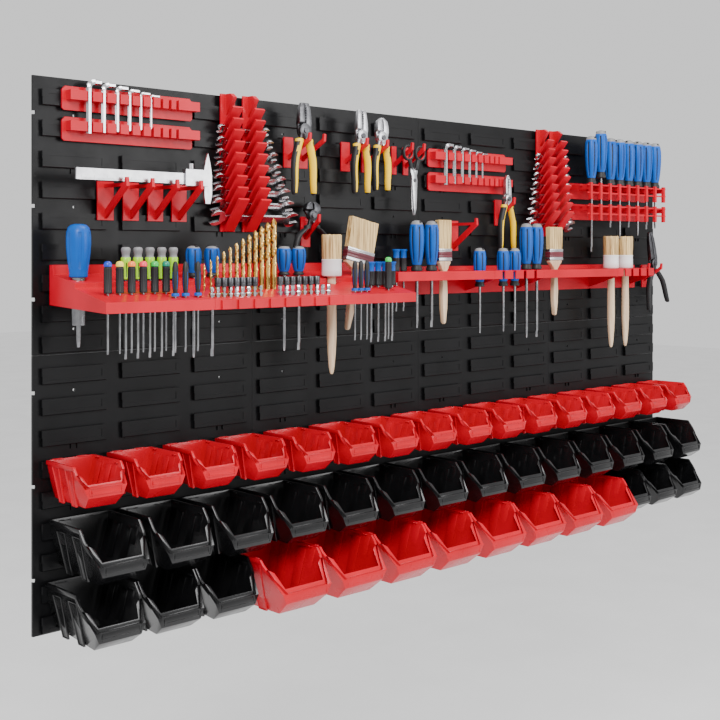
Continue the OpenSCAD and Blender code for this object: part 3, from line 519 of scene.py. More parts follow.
    # ticks that hold the label card
    for t in (-0.36, 0.41):
        parts.append(soften(block("tick", t * lip - 0.7, t * lip + 0.7, d - 1, d + 0.3,
                                  -drop - band + 1.4, -drop - 1.4), 0.3))

    def buttress(m, d0, d1, z0, z1, inside, outside, flare):
        """An upright that hugs the leaning side wall, its foot drawn to the wall or left flared."""
        b = block("upright", m * (half_at(z1) - inside), m * (half_at(z1) + outside), d0, d1, z0, z1)
        shift = -m * (half_at(z1) - half_at(z0) - flare)
        taper = 0.62 if flare else 0.9
        pick(b, "VERT", lambda v: v.co.z < (z0 + 1) * MM)
        bpy.ops.transform.translate(value=at(shift, 0, 0))
        bpy.ops.transform.resize(value=(1, taper, 1), center_override=at(0, (d0 + d1) / 2, z0))
        leave()
        return b

    foot = -h - fall * bend - 4
    for m in (-1, 1):
        for d0 in (d * 0.14, d * 0.50):
            width = d * 0.2
            leg = buttress(m, d0, d0 + width, foot + 1.5, z_bend - 3, 0.6, 3.0, 3.0)
            pick(leg, "FACE", lambda p: p.normal.x * m > 0.6)
            bpy.ops.mesh.inset(thickness=1.5 * MM, depth=0)
            bpy.ops.mesh.inset(thickness=0.3 * MM, depth=-1.6 * MM)
            leave()
            parts.append(soften(leg, 0.5, 2, 28))
            nub = turned("nub", [(1.1, 0), (2.0, 0.5), (2.3, 2), (2.1, 4.5), (1.2, 5)], 10)
            reach = half_at(foot) + 2.4
            parts.append(moved(nub, x=m * reach, d=d0 + width / 2, z=foot))
        for d0 in (d * 0.16, d * 0.44):
            rib = buttress(m, d0, d0 + d * 0.13, -h * 0.93, z_bend - 5, 2.6, -0.8, 0)
            parts.append(soften(rib, 0.5))
        hook_x = m * w / 4
        hook_half = w / 10
        hook = block("hook", hook_x - hook_half, hook_x + hook_half, -4.8, 0.6, 0.3, 2.2)
        tongue = block("tongue", hook_x - hook_half, hook_x + hook_half, -4.8, -2.8, -6.6, 0.6)
        parts += [soften(hook, 0.4), soften(tongue, 0.4)]
        for t in (0.16, 0.84):
            for off in (0, 5.5):
                dm = bend * t + off
                rim_z = rise - fall * dm
                mark = block("mark", m * (top / 2 - 3.6), m * (top / 2 + 0.4), dm, dm + 2.1,
                             rim_z - 1.2, rim_z + 0.5)
                parts.append(soften(mark, 0.4))
    return finish_with(joined(name, parts), finish)


def storage_bins():
    """Four rows; each bin of a row is a copy of one model, a pitch apart."""
    small = storage_bin("small_bin", 77, 96, 50, 59, 2, 96 * 0.78, 0.037, 27.6, 10.7, bin_red)
    medium = storage_bin("medium_bin", 97, 118, 58, 78, 4.7, 118 * 0.74, 0.10, 43.7, 11.3, bin_black)
    large = storage_bin("large_bin", 116, 150, 75, 95, 4.4, 150 * 0.72, 0.0, 43, 12, bin_red)
    for master, kind, count, first, pitch, row, colour in (
        (small, "small_bins", 16, 55.5, 96.3, 5, "red_bin"),
        (medium, "medium_bins", 14, 70.5, 109.7, 3, "black_bin"),
        (large, "large_bins", 8, 368, 118, 1, "red_bin"),
    ):
        for i in range(count):
            side = "left" if i < count / 2 else "right"
            spot = dict(x=first + pitch * i - HALF, d=FACE, z=lip_z(row))
            hand_over(copied(master, f"{kind[:-1]}_{i + 1:02d}", **spot), kind, colour, f"{kind}_{side}")
    for side, first in (("left", 64.5), ("right", 1302.5)):
        for i in range(3):
            spot = dict(x=first + 98.4 * i - HALF, d=FACE, z=lip_z(1))
            low_bin = copied(medium, f"low_bin_{side}_{i + 1}", **spot)
            hand_over(low_bin, "low_bins", "black_bin", f"low_bins_{side}")
    put_away(small, medium, large)


# ---------- Handles and shafts ----------
SHELF = 11  # the row of rails that both shelves hang on


def on_shelf(s, d, z):
    """A place on the shelves: along the board, out from the rails and up from the lip."""
    return dict(x=s - HALF, d=FACE + d, z=lip_z(SHELF) + z)


def shelf_floor(d):
    """Height of the shelf floor's top at a reach, from the rail lip."""
    return 1 - 11 * d / 70 if d < 70 else -17 - 17 * (d - 70) / 80


def colour_by(o, rule):
    """Sets each face's finish from a rule on its middle, in millimetres and degrees round the axis."""
    for p in o.data.polygons:
        c = p.center / MM
        p.material_index = rule(c.z, math.degrees(math.atan2(c.y, c.x)) % 360, p)
    return o


def groove(o, z0, z1, every, sides, deep=0.7, width=0.35, first=0):
    """Sinks every n-th flat of a turned piece between two heights and returns those flats."""
    step = 360 / sides

    def flat(p):
        c = p.center / MM
        side = int((math.degrees(math.atan2(c.y, c.x)) % 360) / step)
        return abs(p.normal.z) < 0.6 and z0 < c.z < z1 and side % every == first

    pick(o, "FACE", flat)
    bpy.ops.mesh.inset(thickness=width * MM, depth=-deep * MM, use_even_offset=True)
    leave()
    return {p.index for p in o.data.polygons if p.select}


def driver(name, length, width, dome=grip_grey):
    """Two-component handle: blue body, dark flutes and collar, grey dome with a hanging eye."""
    outline = [(0.30, 0), (0.37, 0.012), (0.375, 0.05), (0.31, 0.09), (0.30, 0.13), (0.34, 0.17),
               (0.405, 0.28), (0.46, 0.42), (0.495, 0.58), (0.50, 0.70), (0.49, 0.80), (0.45, 0.88),
               (0.41, 0.92), (0.36, 0.955), (0.27, 0.985), (0.12, 0.999)]
    o = turned(name, [(r * width, z * length) for r, z in outline], 24)
    sunk = groove(o, length * 0.18, length * 0.86, 4, 24, 0.8)
    finish_with(o, grip_blue, grip_black, dome)

    def rule(z, angle, p):
        if z > length * 0.905:
            return 2
        return 1 if p.index in sunk or z < length * 0.13 else 0

    colour_by(o, rule)
    # hanging eye through the dome
    eye = turned("eye", [(width * 0.09, 0), (width * 0.11, width * 0.03), (width * 0.11, width * 0.71),
                         (width * 0.09, width * 0.74)], 14)
    moved(eye, d=-width * 0.37, z=length * 0.945, turn=(90, 0, 0), grow=(1, 1.25, 1))
    finish_with(eye, grip_black)
    return joined(name, [o, eye])


def steel_shaft(name, dia, length, tip="flat"):
    """Shaft hanging from its handle, ground to a blade or a cross at its end."""
    r = dia / 2
    rings = [(r, 0), (r, -length * 0.45), (r, -length + dia * 2.2)]
    if tip == "cross":
        rings += [(r * 0.9, -length + dia * 1.2), (r * 0.7, -length + 0.4), (r * 0.62, -length)]
    else:
        rings += [(r * 1.05, -length + dia * 1.6), (r * 0.98, -length + 0.3), (r * 0.9, -length)]
    o = turned(name, rings, 12)
    if tip == "flat":
        pick(o, "VERT", lambda v: v.co.z < (-length + dia * 1.9) * MM)
        bpy.ops.transform.resize(value=(1.15, 0.35, 1), center_override=(0, 0, 0))
        leave()
    return finish_with(o, shaft_steel)


def rack_drivers():
    """Eight drivers in the rack; the second stands higher than the rest."""
    handle = driver("rack_handle", 100, 27)
    for i, length in enumerate((139, 68, 88, 111, 87, 104, 90, 88)):
        spot = dict(x=1230 + 33.6 * i - HALF, d=FACE + 45.5, z=lip_z(15) - 1 + (14 if i == 1 else 0))
        hand_over(copied(handle, f"rack_handle_{i + 1}", **spot, turn=(0, 0, 24 * i)),
                  "rack_drivers", "blue_handle", "rack_driver_handles")
        shaft = steel_shaft(f"rack_shaft_{i + 1}", 5, length, "cross" if i % 2 else "flat")
        hand_over(moved(shaft, **spot), "rack_drivers", "driver_shaft", "rack_driver_shafts")
    put_away(handle)


def shelf_drivers():
    """The ratchet handle and the blue drivers that stand in both shelves."""
    def stand(handle, shafts, name, s, d, z, turn=0):
        spot = on_shelf(s, d, z)
        hand_over(copied(handle, f"{name}_handle", **spot, turn=(0, 0, turn)),
                  "shelf_drivers", "blue_handle", "shelf_driver_handles")
        for k, (dia, length, tip) in enumerate(shafts):
            hand_over(moved(steel_shaft(f"{name}_shaft_{k + 1}", dia, length, tip), **spot),
                      "shelf_drivers", "driver_shaft", "shelf_driver_shafts")

    # ratchet handle with oval grip pads
    o = turned("ratchet_handle", [(10, 0), (12.5, 0.8), (13, 3), (12.6, 6), (13.4, 12), (14.8, 22),
                                  (16.2, 34), (17, 46), (17, 56), (16.4, 63), (14.6, 69), (11, 72.6),
                                  (6, 74)], 24)
    groove(o, 12, 60, 4, 24, 0.9, 0.5)
    soften(o, 0.3, 1, 40)
    finish_with(o, grip_blue, grip_blue_dark)
    for p in o.data.polygons:
        c = p.center / MM
        if 13 < c.z < 60 and math.hypot(c.x, c.y) < 12.2 + 0.07 * c.z:
            p.material_index = 1
    stand(o, ((20, 66, "round"), (7, 96, "cross")), "ratchet", 42, 45, shelf_floor(31) + 0.5)
    put_away(o)
    short = driver("short_handle", 46, 24)
    for i, s in enumerate((232, 266, 406, 436.4)):
        shaft = (6, 120, "flat" if i % 2 else "cross")
        stand(short, (shaft,), f"short_{i + 1}", s, 48, shelf_floor(39) + 0.5, 30 * i)
    tall = driver("ledge_handle", 90, 27)
    for i, s in enumerate((712, 750, 1018, 1050)):
        shaft = (6, 100 if i < 2 else 132, "flat" if i % 2 else "cross")
        stand(tall, (shaft,), f"ledge_{i + 1}", s, 45, -1.8, 20 * i)
    deep = driver("deep_handle", 72, 24.4)
    for i, s in enumerate((872.5, 940, 974)):
        stand(deep, ((5, 86, "cross"),), f"deep_{i + 1}", s, 52, -32, 35 * i)
    put_away(short, tall, deep)


# ---------- Fine tools ----------
def fine_tool(slot, node_name, name, handle, shaft, s, d, z):
    """A copy of a small handle and of its shaft, at one place on the shelves."""
    spot = on_shelf(s, d, z)
    hand_over(copied(handle, f"{name}_handle", **spot), "small_drivers", slot, node_name)
    hand_over(copied(shaft, f"{name}_shaft", **spot), "small_drivers", "driver_shaft", "fine_shafts")


def small_drivers():
    """Precision drivers, slim and flared handles, and the lime and grey ones."""
    def rest(d, back=6):
        return shelf_floor(d - back) + 0.4

    # ribbed black barrels under coloured domes
    caps = (cap_blue, cap_yellow, cap_orange, cap_pink, cap_green, cap_teal)
    for i, cap in enumerate(caps + (cap_green,)):
        tall = 8 if i == 6 else 0
        o = turned("barrel", [(4.6, 0), (5.4, 0.6), (5.5, 2), (5.5, 33 + tall), (5.2, 34.6 + tall),
                              (4.7, 35 + tall), (4.7, 36 + tall), (5.6, 36.2 + tall), (5.6, 38.6 + tall),
                              (5.1, 41 + tall), (3.8, 42.8 + tall), (1.6, 43.5 + tall)], 24)
        groove(o, 3, 33 + tall, 2, 24, 0.35, 0.25)
        finish_with(o, grip_black, cap)
        colour_by(o, lambda z, a, p, tall=tall: 1 if z > 35.5 + tall else 0)
        shaft = steel_shaft("shaft", 3, 82, "cross" if i % 2 else "flat")
        s, d = (561, 127) if i == 6 else (49 + 18.6 * i, 110)
        fine_tool("black_handle", "precision_handles", f"fine_{i + 1}", o, shaft, s, d, rest(d))
        put_away(o, shaft)
    # slim oval-inlay handles on blue discs
    o = turned("slim", [(5.5, 0), (5.5, 3.4), (5.1, 4), (3.1, 4.4), (3.6, 9), (4.5, 18), (4.6, 25),
                        (4.4, 34), (4.1, 40), (3.2, 44.5), (2.0, 47.4), (0.8, 48)], 24)
    inlay = groove(o, 13, 36, 6, 24, 0.25, 0.3)
    finish_with(o, grip_black, grip_blue)
    colour_by(o, lambda z, a, p: 1 if z < 4.2 or p.index in inlay else 0)
    shaft = steel_shaft("shaft", 3, 78)
    for i, s in enumerate((141, 158, 179, 480, 493, 506)):
        fine_tool("black_handle", "collar_handles", f"slim_{i + 1}", o, shaft, s, 134, rest(134))
    put_away(o, shaft)
    # black bodies under flared blue caps
    o = turned("flared", [(4.8, 0), (5.9, 0.8), (6, 3), (6, 22.6), (5.6, 24), (5.4, 25), (5.3, 33),
                          (6.1, 35.6), (7, 37), (7, 38.4), (6.2, 39), (3, 39)], 24)
    groove(o, 3, 22, 2, 24, 0.4, 0.25)
    finish_with(o, grip_black, grip_blue)
    colour_by(o, lambda z, a, p: 1 if z > 24 else 0)
    shaft = steel_shaft("shaft", 4, 92)
    for i in range(4):
        fine_tool("black_handle", "collar_handles", f"flared_{i + 1}", o, shaft, 542 + 16 * i, 106,
                  rest(106, 7))
    slim = steel_shaft("shaft", 3.5, 70)
    for i, s in enumerate((676, 694)):
        fine_tool("black_handle", "collar_handles", f"flared_ledge_{i + 1}", o, slim, s, 30, -1.8)
    put_away(o, shaft, slim)
    # lime and grey handles
    o = turned("lime", [(5.6, 0), (6.8, 0.8), (7, 3), (7, 24), (7, 30.4), (6.3, 31.6), (5.5, 33), (5.5, 35),
                        (6.1, 38), (6.8, 40.6), (6.8, 42.5), (6.1, 44.6), (4.6, 45.8), (2, 46)], 24)
    side = groove(o, 3, 24, 4, 24, 0.5, 0.3)
    finish_with(o, lime_plastic, grip_grey, grip_black)
    colour_by(o, lambda z, a, p: 1 if z > 31.5 else (2 if p.index in side or z < 1 else 0))
    shaft = steel_shaft("shaft", 4, 112)
    for i in range(5):
        fine_tool("lime_handle", "lime_handles", f"lime_{i + 1}", o, shaft, 108 + 20 * i, 60, rest(60, 7))
    put_away(o, shaft)


def drill_set():
    """Twist drills: a pinched section drawn up and turned a little at each step, above a shank."""
    for i in range(12):
        dia, length = 3 + 0.6 * i, 44 + 6.3 * i
        name = f"drill_{i + 1:02d}"
        bpy.ops.object.select_all(action="DESELECT")
        bpy.ops.mesh.primitive_circle_add(vertices=16, radius=dia / 2 * MM, fill_type="NGON")
        o = named(name)
        shank = length * (0.30 if i < 6 else 0.36)
        pick(o)
        bpy.ops.mesh.extrude_region_move(TRANSFORM_OT_translate={"value": at(0, 0, shank)})
        leave()
        pick(o, "FACE", lambda p: p.normal.z > 0.9 and p.center.z > 0.5 * shank * MM)
        bpy.ops.mesh.extrude_region_move(TRANSFORM_OT_translate={"value": at(0, 0, 0.8)})
        leave()
        # flutes: pinch two opposite sides of the section
        z_now = shank + 0.8
        pick(o, "VERT", lambda v: v.co.z > (z_now - 0.1) * MM and abs(v.co.x) < dia * 0.24 * MM)
        bpy.ops.transform.resize(value=(1, 0.30, 1), center_override=(0, 0, 0))
        leave()
        pick(o, "FACE", lambda p: p.normal.z > 0.9 and p.center.z > (z_now - 0.1) * MM)
        fluted = length - z_now - dia * 0.6
        steps = int(fluted / max(1.5, dia * 0.3))
        rise = fluted / steps
        for k in range(steps):
            z_now += rise
            bpy.ops.mesh.extrude_region_move(TRANSFORM_OT_translate={"value": at(0, 0, rise)})
            bpy.ops.transform.rotate(value=math.radians(-24), orient_axis="Z",
                                     center_override=at(0, 0, z_now))
        bpy.ops.mesh.extrude_region_move(TRANSFORM_OT_translate={"value": at(0, 0, length - z_now)})
        bpy.ops.transform.resize(value=(0.12, 0.12, 1), center_override=at(0, 0, length))
        leave()
        face_out(o)
        only(o)
        bpy.ops.object.shade_smooth_by_angle(angle=math.radians(35))
        finish_with(o, drill_gold)
        hand_over(moved(o, **on_shelf(214 + 11.7 * i, 100, -30)), "drill_bits", "drill_gold", "drill_bits")


def setters():
    """Two rows of nut setters, each a hexagon shank under a socket, and four bare bits."""
    rest = shelf_floor(131) + 0.4
    hexagon = turned("hexagon", [(2.6, -9), (3.25, -8.4), (3.25, 0), (4.2, 0.2), (4.3, 0.8), (4.3, 2.4),
                                 (4, 3), (2.4, 3.4), (2.4, 5.4), (3.25, 6), (3.25, 11.4), (2.8, 12)], 6)
    finish_with(hexagon, chrome_plate)
    socket = turned("socket", [(3.4, 12), (4.6, 12.4), (5, 13.4), (5, 16), (4.6, 16.4), (4.6, 17.2),
                               (5, 17.6), (5, 24.2), (4.7, 25), (3.7, 25), (3.5, 24.6), (3.4, 20)], 18)
    finish_with(socket, dark_steel)
    for i, s in enumerate([212 + i * 11 for i in range(7)] + [326 + i * 12 for i in range(7)]):
        spot = on_shelf(s, 136, rest)
        setter = joined(f"setter_{i + 1:02d}", [copied(hexagon, "hexagon"), copied(socket, "socket")])
        hand_over(moved(setter, **spot, turn=(0, 0, 11 * i)), "nut_setters", "setter_steel", "nut_setters")
    for i, s in enumerate((201.5, 289, 410, 422)):
        hand_over(copied(hexagon, f"bit_{i + 1}", **on_shelf(s, 136, rest), turn=(0, 0, 17 * i)),
                  "nut_setters", "setter_steel", "nut_setters")
    put_away(hexagon, socket)


# ---------- Brushes ----------
def tuft(name, w, t, z0, z1, spread, sides):
    """A tuft of hair: rings of fine ridges, combed outwards, with an uneven end."""
    rows = [(0, 0, z0, w, t), (0, 0, z0 + (z1 - z0) * 0.35, w * (1 + spread * 0.4), t * 1.02),
            (0, 0, z0 + (z1 - z0) * 0.7, w * (1 + spread * 0.8), t * 1.04),
            (0, 0, z1 - 1.5, w * (1 + spread), t * 1.02), (0, 0, z1, w * (1 + spread) * 0.985, t * 0.9)]
    o = limb(name, rows, sides)
    if sides == 4:
        pick(o)
        bpy.ops.mesh.subdivide(number_cuts=9)
        leave()
    for k in range(3):
        pick(o, "VERT", lambda v: (v.co.z > (z1 - 0.4) * MM
                                   and int(v.co.x / MM * 7 + v.co.y / MM * 5) % 3 == k))
        bpy.ops.transform.translate(value=at(0, 0, -0.5 * k))
        leave()
    fur = o.modifiers.new("strands", "SUBSURF")
    fur.subdivision_type, fur.levels, fur.render_levels = "SIMPLE", 1, 1
    apply_all(o)
    bpy.ops.object.shade_smooth_by_angle(angle=math.radians(50))
    return finish_with(o, bristle_straw)


def brushes():
    """Three round brushes in white cups and three flat ones in banded ferrules."""
    rounds = ((486, 72, shelf_floor(55) + 0.5, 158), (1300, 45, -1.7, 166), (1352, 45, -1.7, 166))
    for i, (s, d, z, length) in enumerate(rounds):
        spot = on_shelf(s, d, z)
        handle = turned("wood", [(7, 0), (7.4, -length * 0.15), (7.7, -length * 0.3), (8, -length * 0.5),
                                 (7.9, -length * 0.62), (6.8, -length * 0.78), (5, -length * 0.92),
                                 (3.6, -length * 0.975), (2, -length)], 20)
        finish_with(handle, brush_wood)
        cup = turned("cup", [(14.6, 0), (15.4, 0.4), (16.5, 2), (16.2, 12), (16.0, 25), (16.4, 26.2),
                             (16.4, 27.4), (15.6, 28)], 32)
        finish_with(cup, ferrule_white)
        hand_over(moved(joined(f"round_brush_{i + 1}", [handle, cup]), **spot), "brushes", "brush_wood",
                  "brush_handles")
        hair = tuft(f"round_hair_{i + 1}", 31.6, 31.6, 27.6, 68, 0.07, 48)
        hand_over(moved(hair, **spot), "brushes", "bristle", "brush_bristles")
    flats = ((781, 45, -1.7, 34, 96, 92, 0), (1106, 45, -1.7, 42, 92, 84, 0),
             (560, 50, shelf_floor(43) + 0.4 + 9 * math.sin(math.radians(12)), 62, 96, 92, 12))
    for i, (s, d, z, w, length, top, lean) in enumerate(flats):
        spot = on_shelf(s, d, z)
        wood = limb("wood", [(0, 0, -length, 3, 6), (0, 0, -length * 0.97, 6, 9),
                             (0, 0, -length * 0.7, 12, 10), (0, 0, -length * 0.45, 14, 10),
                             (0, 0, -length * 0.2, 11.5, 10), (0, 0, 0, 10.5, 10), (0, 0, 4, 18, 10),
                             (0, 0, 9, w * 0.62, 10), (0, 0, 14, w - 4, 10), (0, 0, 18.2, w - 4, 10)])
        soften(wood, 1.8, 3, 30)
        finish_with(wood, brush_wood)
        band = block("band", -w / 2, w / 2, -6, 6, 18, 40)
        ridges = [(z0, z0 + 1.6) for z0 in (22.5, 28, 35)]
        for cut in sum(ridges, ()):
            pick(band)
            bpy.ops.mesh.bisect(plane_co=at(0, 0, cut), plane_no=(0, 0, 1))
            leave()
        pick(band, "FACE", lambda p: (abs(p.normal.z) < 0.5
                                      and any(z0 < p.center.z / MM < z1 for z0, z1 in ridges)))
        bpy.ops.mesh.extrude_region_shrink_fatten(TRANSFORM_OT_shrink_fatten={"value": -0.35 * MM})
        leave()
        soften(band, 0.35, 2, 30)
        finish_with(band, satin_steel, ferrule_maroon)
        for p in band.data.polygons:
            p.material_index = int(24.4 < p.center.z / MM < 34.6)
        handle = joined(f"flat_brush_{i + 1}", [wood, band])
        hand_over(moved(handle, **spot, turn=(0, lean, 0)), "brushes", "brush_wood", "brush_handles")
        hair = tuft(f"flat_hair_{i + 1}", w - 2.5, 9.6, 39.6, top, 0.03, 4)
        hand_over(moved(hair, **spot, turn=(0, lean, 0)), "brushes", "bristle", "brush_bristles")


# ---------- Tools with two halves ----------
def disc(name, r, d0, d1, x=0, z=0, sides=28):
    """A flat round boss lying towards the front."""
    o = turned(name, [(r * 0.92, d0), (r, d0 + 0.4), (r, d1 - 0.4), (r * 0.92, d1)], sides)
    return moved(o, x=x, z=z, turn=(90, 0, 0))


def plier_half(name, m, jaw_l, jaw_w, boss_r, tang_x, tang_z, end_x, end_z, grip_w, steel, outer, inner,
               nose, teeth):
    """One half: jaw with cut teeth, lapped boss, tang, and a two-colour dipped grip.

    m is 1 or -1 for the side its grip is on. tang and end give where the grip starts and ends,
    and nose is the jaw's width at its tip, as a share of jaw_w.
    """
    d0 = 0 if m > 0 else 5.2  # the two bosses lie one over the other
    mid = d0 + 2.5
    full = 5.1  # middle of the full thickness
    parts = []
    jaw = limb("jaw", [(-m * boss_r * 0.52, mid, 0, boss_r * 0.9, 4.8),
                       (-m * (jaw_w * 0.52), mid, boss_r * 0.85, jaw_w * 0.94, 4.8),
                       (-m * (jaw_w * 0.54), full, boss_r + 1.2, jaw_w * 0.92, 10),
                       (-m * (jaw_w * 0.53), full, boss_r + (jaw_l - boss_r) * 0.35, jaw_w * 0.84, 9.6),
                       (-m * (jaw_w * 0.46), full, boss_r + (jaw_l - boss_r) * 0.75, jaw_w * 0.70, 8),
                       (-m * (jaw_w * nose * 0.52), full, jaw_l - 1, jaw_w * nose * 0.92, 6.4),
                       (-m * (jaw_w * nose * 0.5), full, jaw_l, jaw_w * nose * 0.8, 5.6)])
    soften(jaw, 1.1, 3, 30)
    parts.append(finish_with(jaw, steel))
    for k in range(teeth):
        z = jaw_l - 3 - k * (jaw_l - boss_r - 5) / max(1, teeth)
        tooth = block("tooth", -m * 0.3, -m * 2.2, full - 3, full + 4.95 - k * 0.05, z - 0.6, z + 0.6)
        pick(tooth, "VERT", lambda v: abs(v.co.x) > 1.5 * MM)
        bpy.ops.transform.resize(value=(1, 1, 1.8), center_override=at(0, full, z))
        leave()
        parts.append(finish_with(tooth, dark_steel))
    parts.append(finish_with(disc("boss", boss_r, d0, d0 + 5), steel))
    if m > 0:
        parts.append(finish_with(disc("rivet", 3, -1.5, 11.7), satin_steel))
        parts.append(finish_with(disc("rivet_head", 4.6, 10.6, 12, sides=20), dark_steel))
    tang = limb("tang", [(0, mid, -1, boss_r * 1.2, 4.8),
                         (m * tang_x * 0.6, mid, tang_z * 0.5, grip_w * 0.85, 4.8),
                         (m * tang_x, mid + (full - mid) * 0.5, tang_z - 2, grip_w * 0.6, 5.5)])
    parts.append(finish_with(soften(tang, 0.8, 2, 30), steel))

    def bow(t):
        """How far out the grip's middle is at a share of its length; it turns in at a third."""
        out = 0.55 * t / 0.35 if t < 0.35 else 0.55 + 0.45 * (t - 0.35) / 0.65
        swell = 2 * math.sin(math.pi * min(1, t * 1.3)) + 1.2 * math.sin(math.pi * t)
        return tang_x + (end_x - tang_x) * out + swell

    def wide(t):
        return grip_w * (1.0 + 0.12 * math.sin(math.pi * t) - 0.28 * t)

    drop = end_z - tang_z
    rows = [(m * (tang_x + 0.5), full, tang_z + 2.5, grip_w * 0.55, 9),
            (m * (tang_x + 1.2), full, tang_z + 1, grip_w * 1.15, 12.5),
            (m * (tang_x + 1), full, tang_z - 3, grip_w * 1.2, 13.6)]
    for k in range(1, 9):
        t = k / 9
        rows.append((m * bow(t), full, tang_z + drop * t, wide(t), 13.8 - 2.2 * t))
    rows += [(m * bow(0.97), full, tang_z + drop * 0.97, wide(1) * 0.92, 11),
             (m * bow(1), full, tang_z + drop, wide(1) * 0.6, 7.5)]
    grip = limb("grip", rows, 16)
    only(grip)
    bpy.ops.object.shade_smooth_by_angle(angle=math.radians(50))
    finish_with(grip, inner, outer)
    centre = [(r[2], r[0]) for r in rows]

    def side_of(c):
        near = min(centre, key=lambda q: abs(q[0] - c.z))
        return m * (c.x - near[1])

    for p in grip.data.polygons:
        c = p.center / MM
        dark = side_of(c) > grip_w * 0.17 or c.z < tang_z + drop * 0.93
        p.material_index = int(dark and c.z < tang_z - 1)
    parts.append(grip)
    return joined(name, parts)


def pliers():
    """Six tools with two halves: place of the pivot, sizes, finishes and the side that moves.

    The sizes are in plier_half's own order, from the jaw's length to the grip's width.
    """
    for name, s, d, row, z, sizes, steel, inner, moving, slot, lean, nose, teeth in (
        ("pliers", 453, 37, 16, 12, (45, 13, 12, 9, -15, 21, -104, 13), jaw_steel, grip_yellow,
         -1, "plier_half", 0, 0.62, 7),
        ("gripper", 580, 37, 16, 12, (44, 12, 11, 9, -15, 15, -98, 12), satin_steel, grip_yellow,
         -1, "plier_half", 0, 0.74, 7),
        ("cutter", 628, 37, 16, 12, (34, 13, 11, 9, -15, 15, -92, 12), satin_steel, grip_yellow,
         1, "plier_half", 0, 0.3, 0),
        ("pincer", 490, 14, 13, 6, (22, 16, 9, 9, -18, 38, -60, 10), dark_steel, grip_black,
         1, "pincer_half", 0, 0.5, 0),
        ("long_nose", 984, 20, 14, 5, (46, 8, 9, 8, -13, 20, -98, 11), satin_steel, grip_yellow,
         -1, "plier_half", 0, 0.34, 6),
        ("nipper", 1484, 24, 11, 8, (70, 12, 10, 9, -18, 38, -98, 10), dark_steel, grip_black,
         -1, "pincer_half", 12, 0.5, 0),
    ):
        for m in (1, -1):
            kind = "moving" if m == moving else "fixed"
            half = plier_half(f"{name}_{kind}", m, *sizes, steel, grip_black, inner, nose, teeth)
            moved(half, x=s - HALF, d=FACE + d, z=lip_z(row) + z, turn=(0, -lean, 0))
            hand_over(half, f"{name}_arm" if m == moving else "board", slot, f"{name}_{kind}_half")


def scissors():
    """Blades crossing at a screw, under black finger rings with red linings."""
    pivot = lip_z(15) + CELL + 8 - 34 + 26 * 39 / 43 + 2 - 9 - 48
    for m, d0, kind in ((1, 0, "fixed"), (-1, 2.2, "moving")):
        mid = d0 + 1
        blade = limb("blade", [(m * 7, mid, 23, 5.6, 1.9), (m * 5, mid, 15, 10, 1.9),
                               (m * 0.8, mid, 8, 13, 1.9), (-m * 0.2, mid, 0, 13.4, 1.9),
                               (-m * 0.9, mid, -25, 10, 1.8), (-m * 1.5, mid, -50, 6.6, 1.6),
                               (-m * 0.6, mid, -62, 1, 1.0)])
        parts = [finish_with(soften(blade, 0.45, 2, 30), satin_steel)]
        neck = limb("neck", [(m * 6.6, 2.2, 18, 6.4, 4.4), (m * 7.4, 2.2, 22, 7.4, 6.4),
                             (m * 8.4, 2.2, 28, 7.6, 7), (m * 10.4, 2.2, 34, 8.4, 7),
                             (m * 12.6, 2.2, 38, 11, 6.6)], 12)
        parts.append(finish_with(soften(neck, 0.5, 2, 30), grip_black))
        for name, major, minor, deep, finish in (("ring", 11.3, 2.2, 1.65, grip_black),
                                                 ("lining", 9.75, 0.75, 3.4, holder_red)):
            bpy.ops.object.select_all(action="DESELECT")
            bpy.ops.mesh.primitive_torus_add(major_segments=32, minor_segments=10, major_radius=major * MM,
                                             minor_radius=minor * MM, location=(0, 0, 0))
            ring = named(name)
            pick(ring)
            bpy.ops.transform.resize(value=(1, 1.06, deep), center_override=(0, 0, 0))
            leave()
            moved(ring, x=m * 15, d=2.25, z=48, turn=(90, 0, 0))
            only(ring)
            bpy.ops.object.shade_smooth()
            parts.append(finish_with(ring, finish))
        if m > 0:
            parts.append(finish_with(disc("screw", 3.4, -1, 5.4, sides=18), jaw_steel))
        half = joined(f"scissor_{kind}", parts)
        moved(half, x=712 - HALF, d=FACE + 36, z=pivot)
        hand_over(half, "scissor_arm" if m < 0 else "board", "scissor_half", f"scissor_{kind}_half")


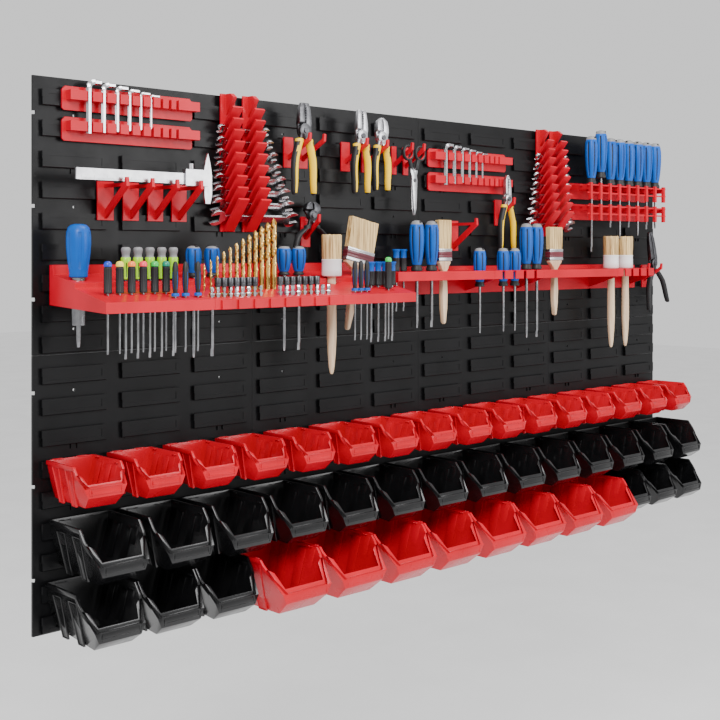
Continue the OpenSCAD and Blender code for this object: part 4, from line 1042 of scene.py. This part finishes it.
def caliper_scale():
    """Graduations along the beam, every tenth one longer."""
    corner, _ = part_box("caliper_beam")
    front = -corner[1] / MM
    left = corner[0] / MM + 8
    base = lip_z(14) + 2.9
    rows = []
    for pitch, tall, count in ((2, 2.6, 84), (20, 5.4, 9)):
        tick = block("tick", left, left + 0.35, front - 0.1, front + 0.06, base, base + tall)
        row = tick.modifiers.new("row", "ARRAY")
        row.use_relative_offset = False
        row.use_constant_offset = True
        row.constant_offset_displace = at(pitch, 0, 0)
        row.count = count
        apply_all(tick)
        rows.append(tick)
    hand_over(finish_with(joined("caliper_scale", rows), dark_steel), "caliper", "caliper_steel")


storage_bins()
rack_drivers()
shelf_drivers()
small_drivers()
drill_set()
setters()
brushes()
pliers()
scissors()
caliper_scale()

for name in frame["nodes"]:
    if name not in stood_for:
        dress(name, NODE_FINISH[slot_of[name]])


# ---------- Floor, light and camera ----------
def studio():
    """A pale floor under the wall, an even sky and three broad lamps."""
    bpy.ops.mesh.primitive_plane_add(size=30, location=(0, 4, -0.95))
    floor = bpy.context.object
    floor.name = "floor"
    pale = new_finish("floor_pale", (0.9, 0.9, 0.9), 0.9)
    vary_color(pale, speckle(pale, 3, 3), (0.88, 0.88, 0.88), (0.92, 0.92, 0.92), 0.35, 0.65)
    floor.data.materials.append(pale)
    world = bpy.data.worlds.new("studio")
    scene.world = world
    world.use_nodes = True
    world.node_tree.nodes["Background"].inputs["Color"].default_value = (1, 1, 1, 1)
    world.node_tree.nodes["Background"].inputs["Strength"].default_value = 0.95
    for name, stand, size, watts, look in (
        ("key", (-2.6, -2.6, 2.4), 1.2, 150, (0, 0, 0.4)),
        ("fill", (1.8, -3.4, 1.2), 1.6, 60, (0, 0, 0.3)),
        ("top", (0.2, -1.0, 2.6), 1.4, 60, (0, 0, 0.3)),
    ):
        light = bpy.data.lights.new(name, "AREA")
        light.size = size
        light.energy = watts
        o = bpy.data.objects.new(name, light)
        scene.collection.objects.link(o)
        o.location = stand
        o.rotation_euler = (Vector(look) - Vector(stand)).to_track_quat("-Z", "Y").to_euler()


def camera():
    """A level camera to the left of the wall, its view shifted down."""
    data = bpy.data.cameras.new("camera")
    data.lens = 59.07
    data.sensor_width = 36
    data.shift_y = -0.149
    o = bpy.data.objects.new("camera", data)
    scene.collection.objects.link(o)
    o.location = (-1.558, -1.508, 0.533)
    o.rotation_euler = (math.radians(90), 0, math.radians(-43.2))
    scene.camera = o


studio()
camera()
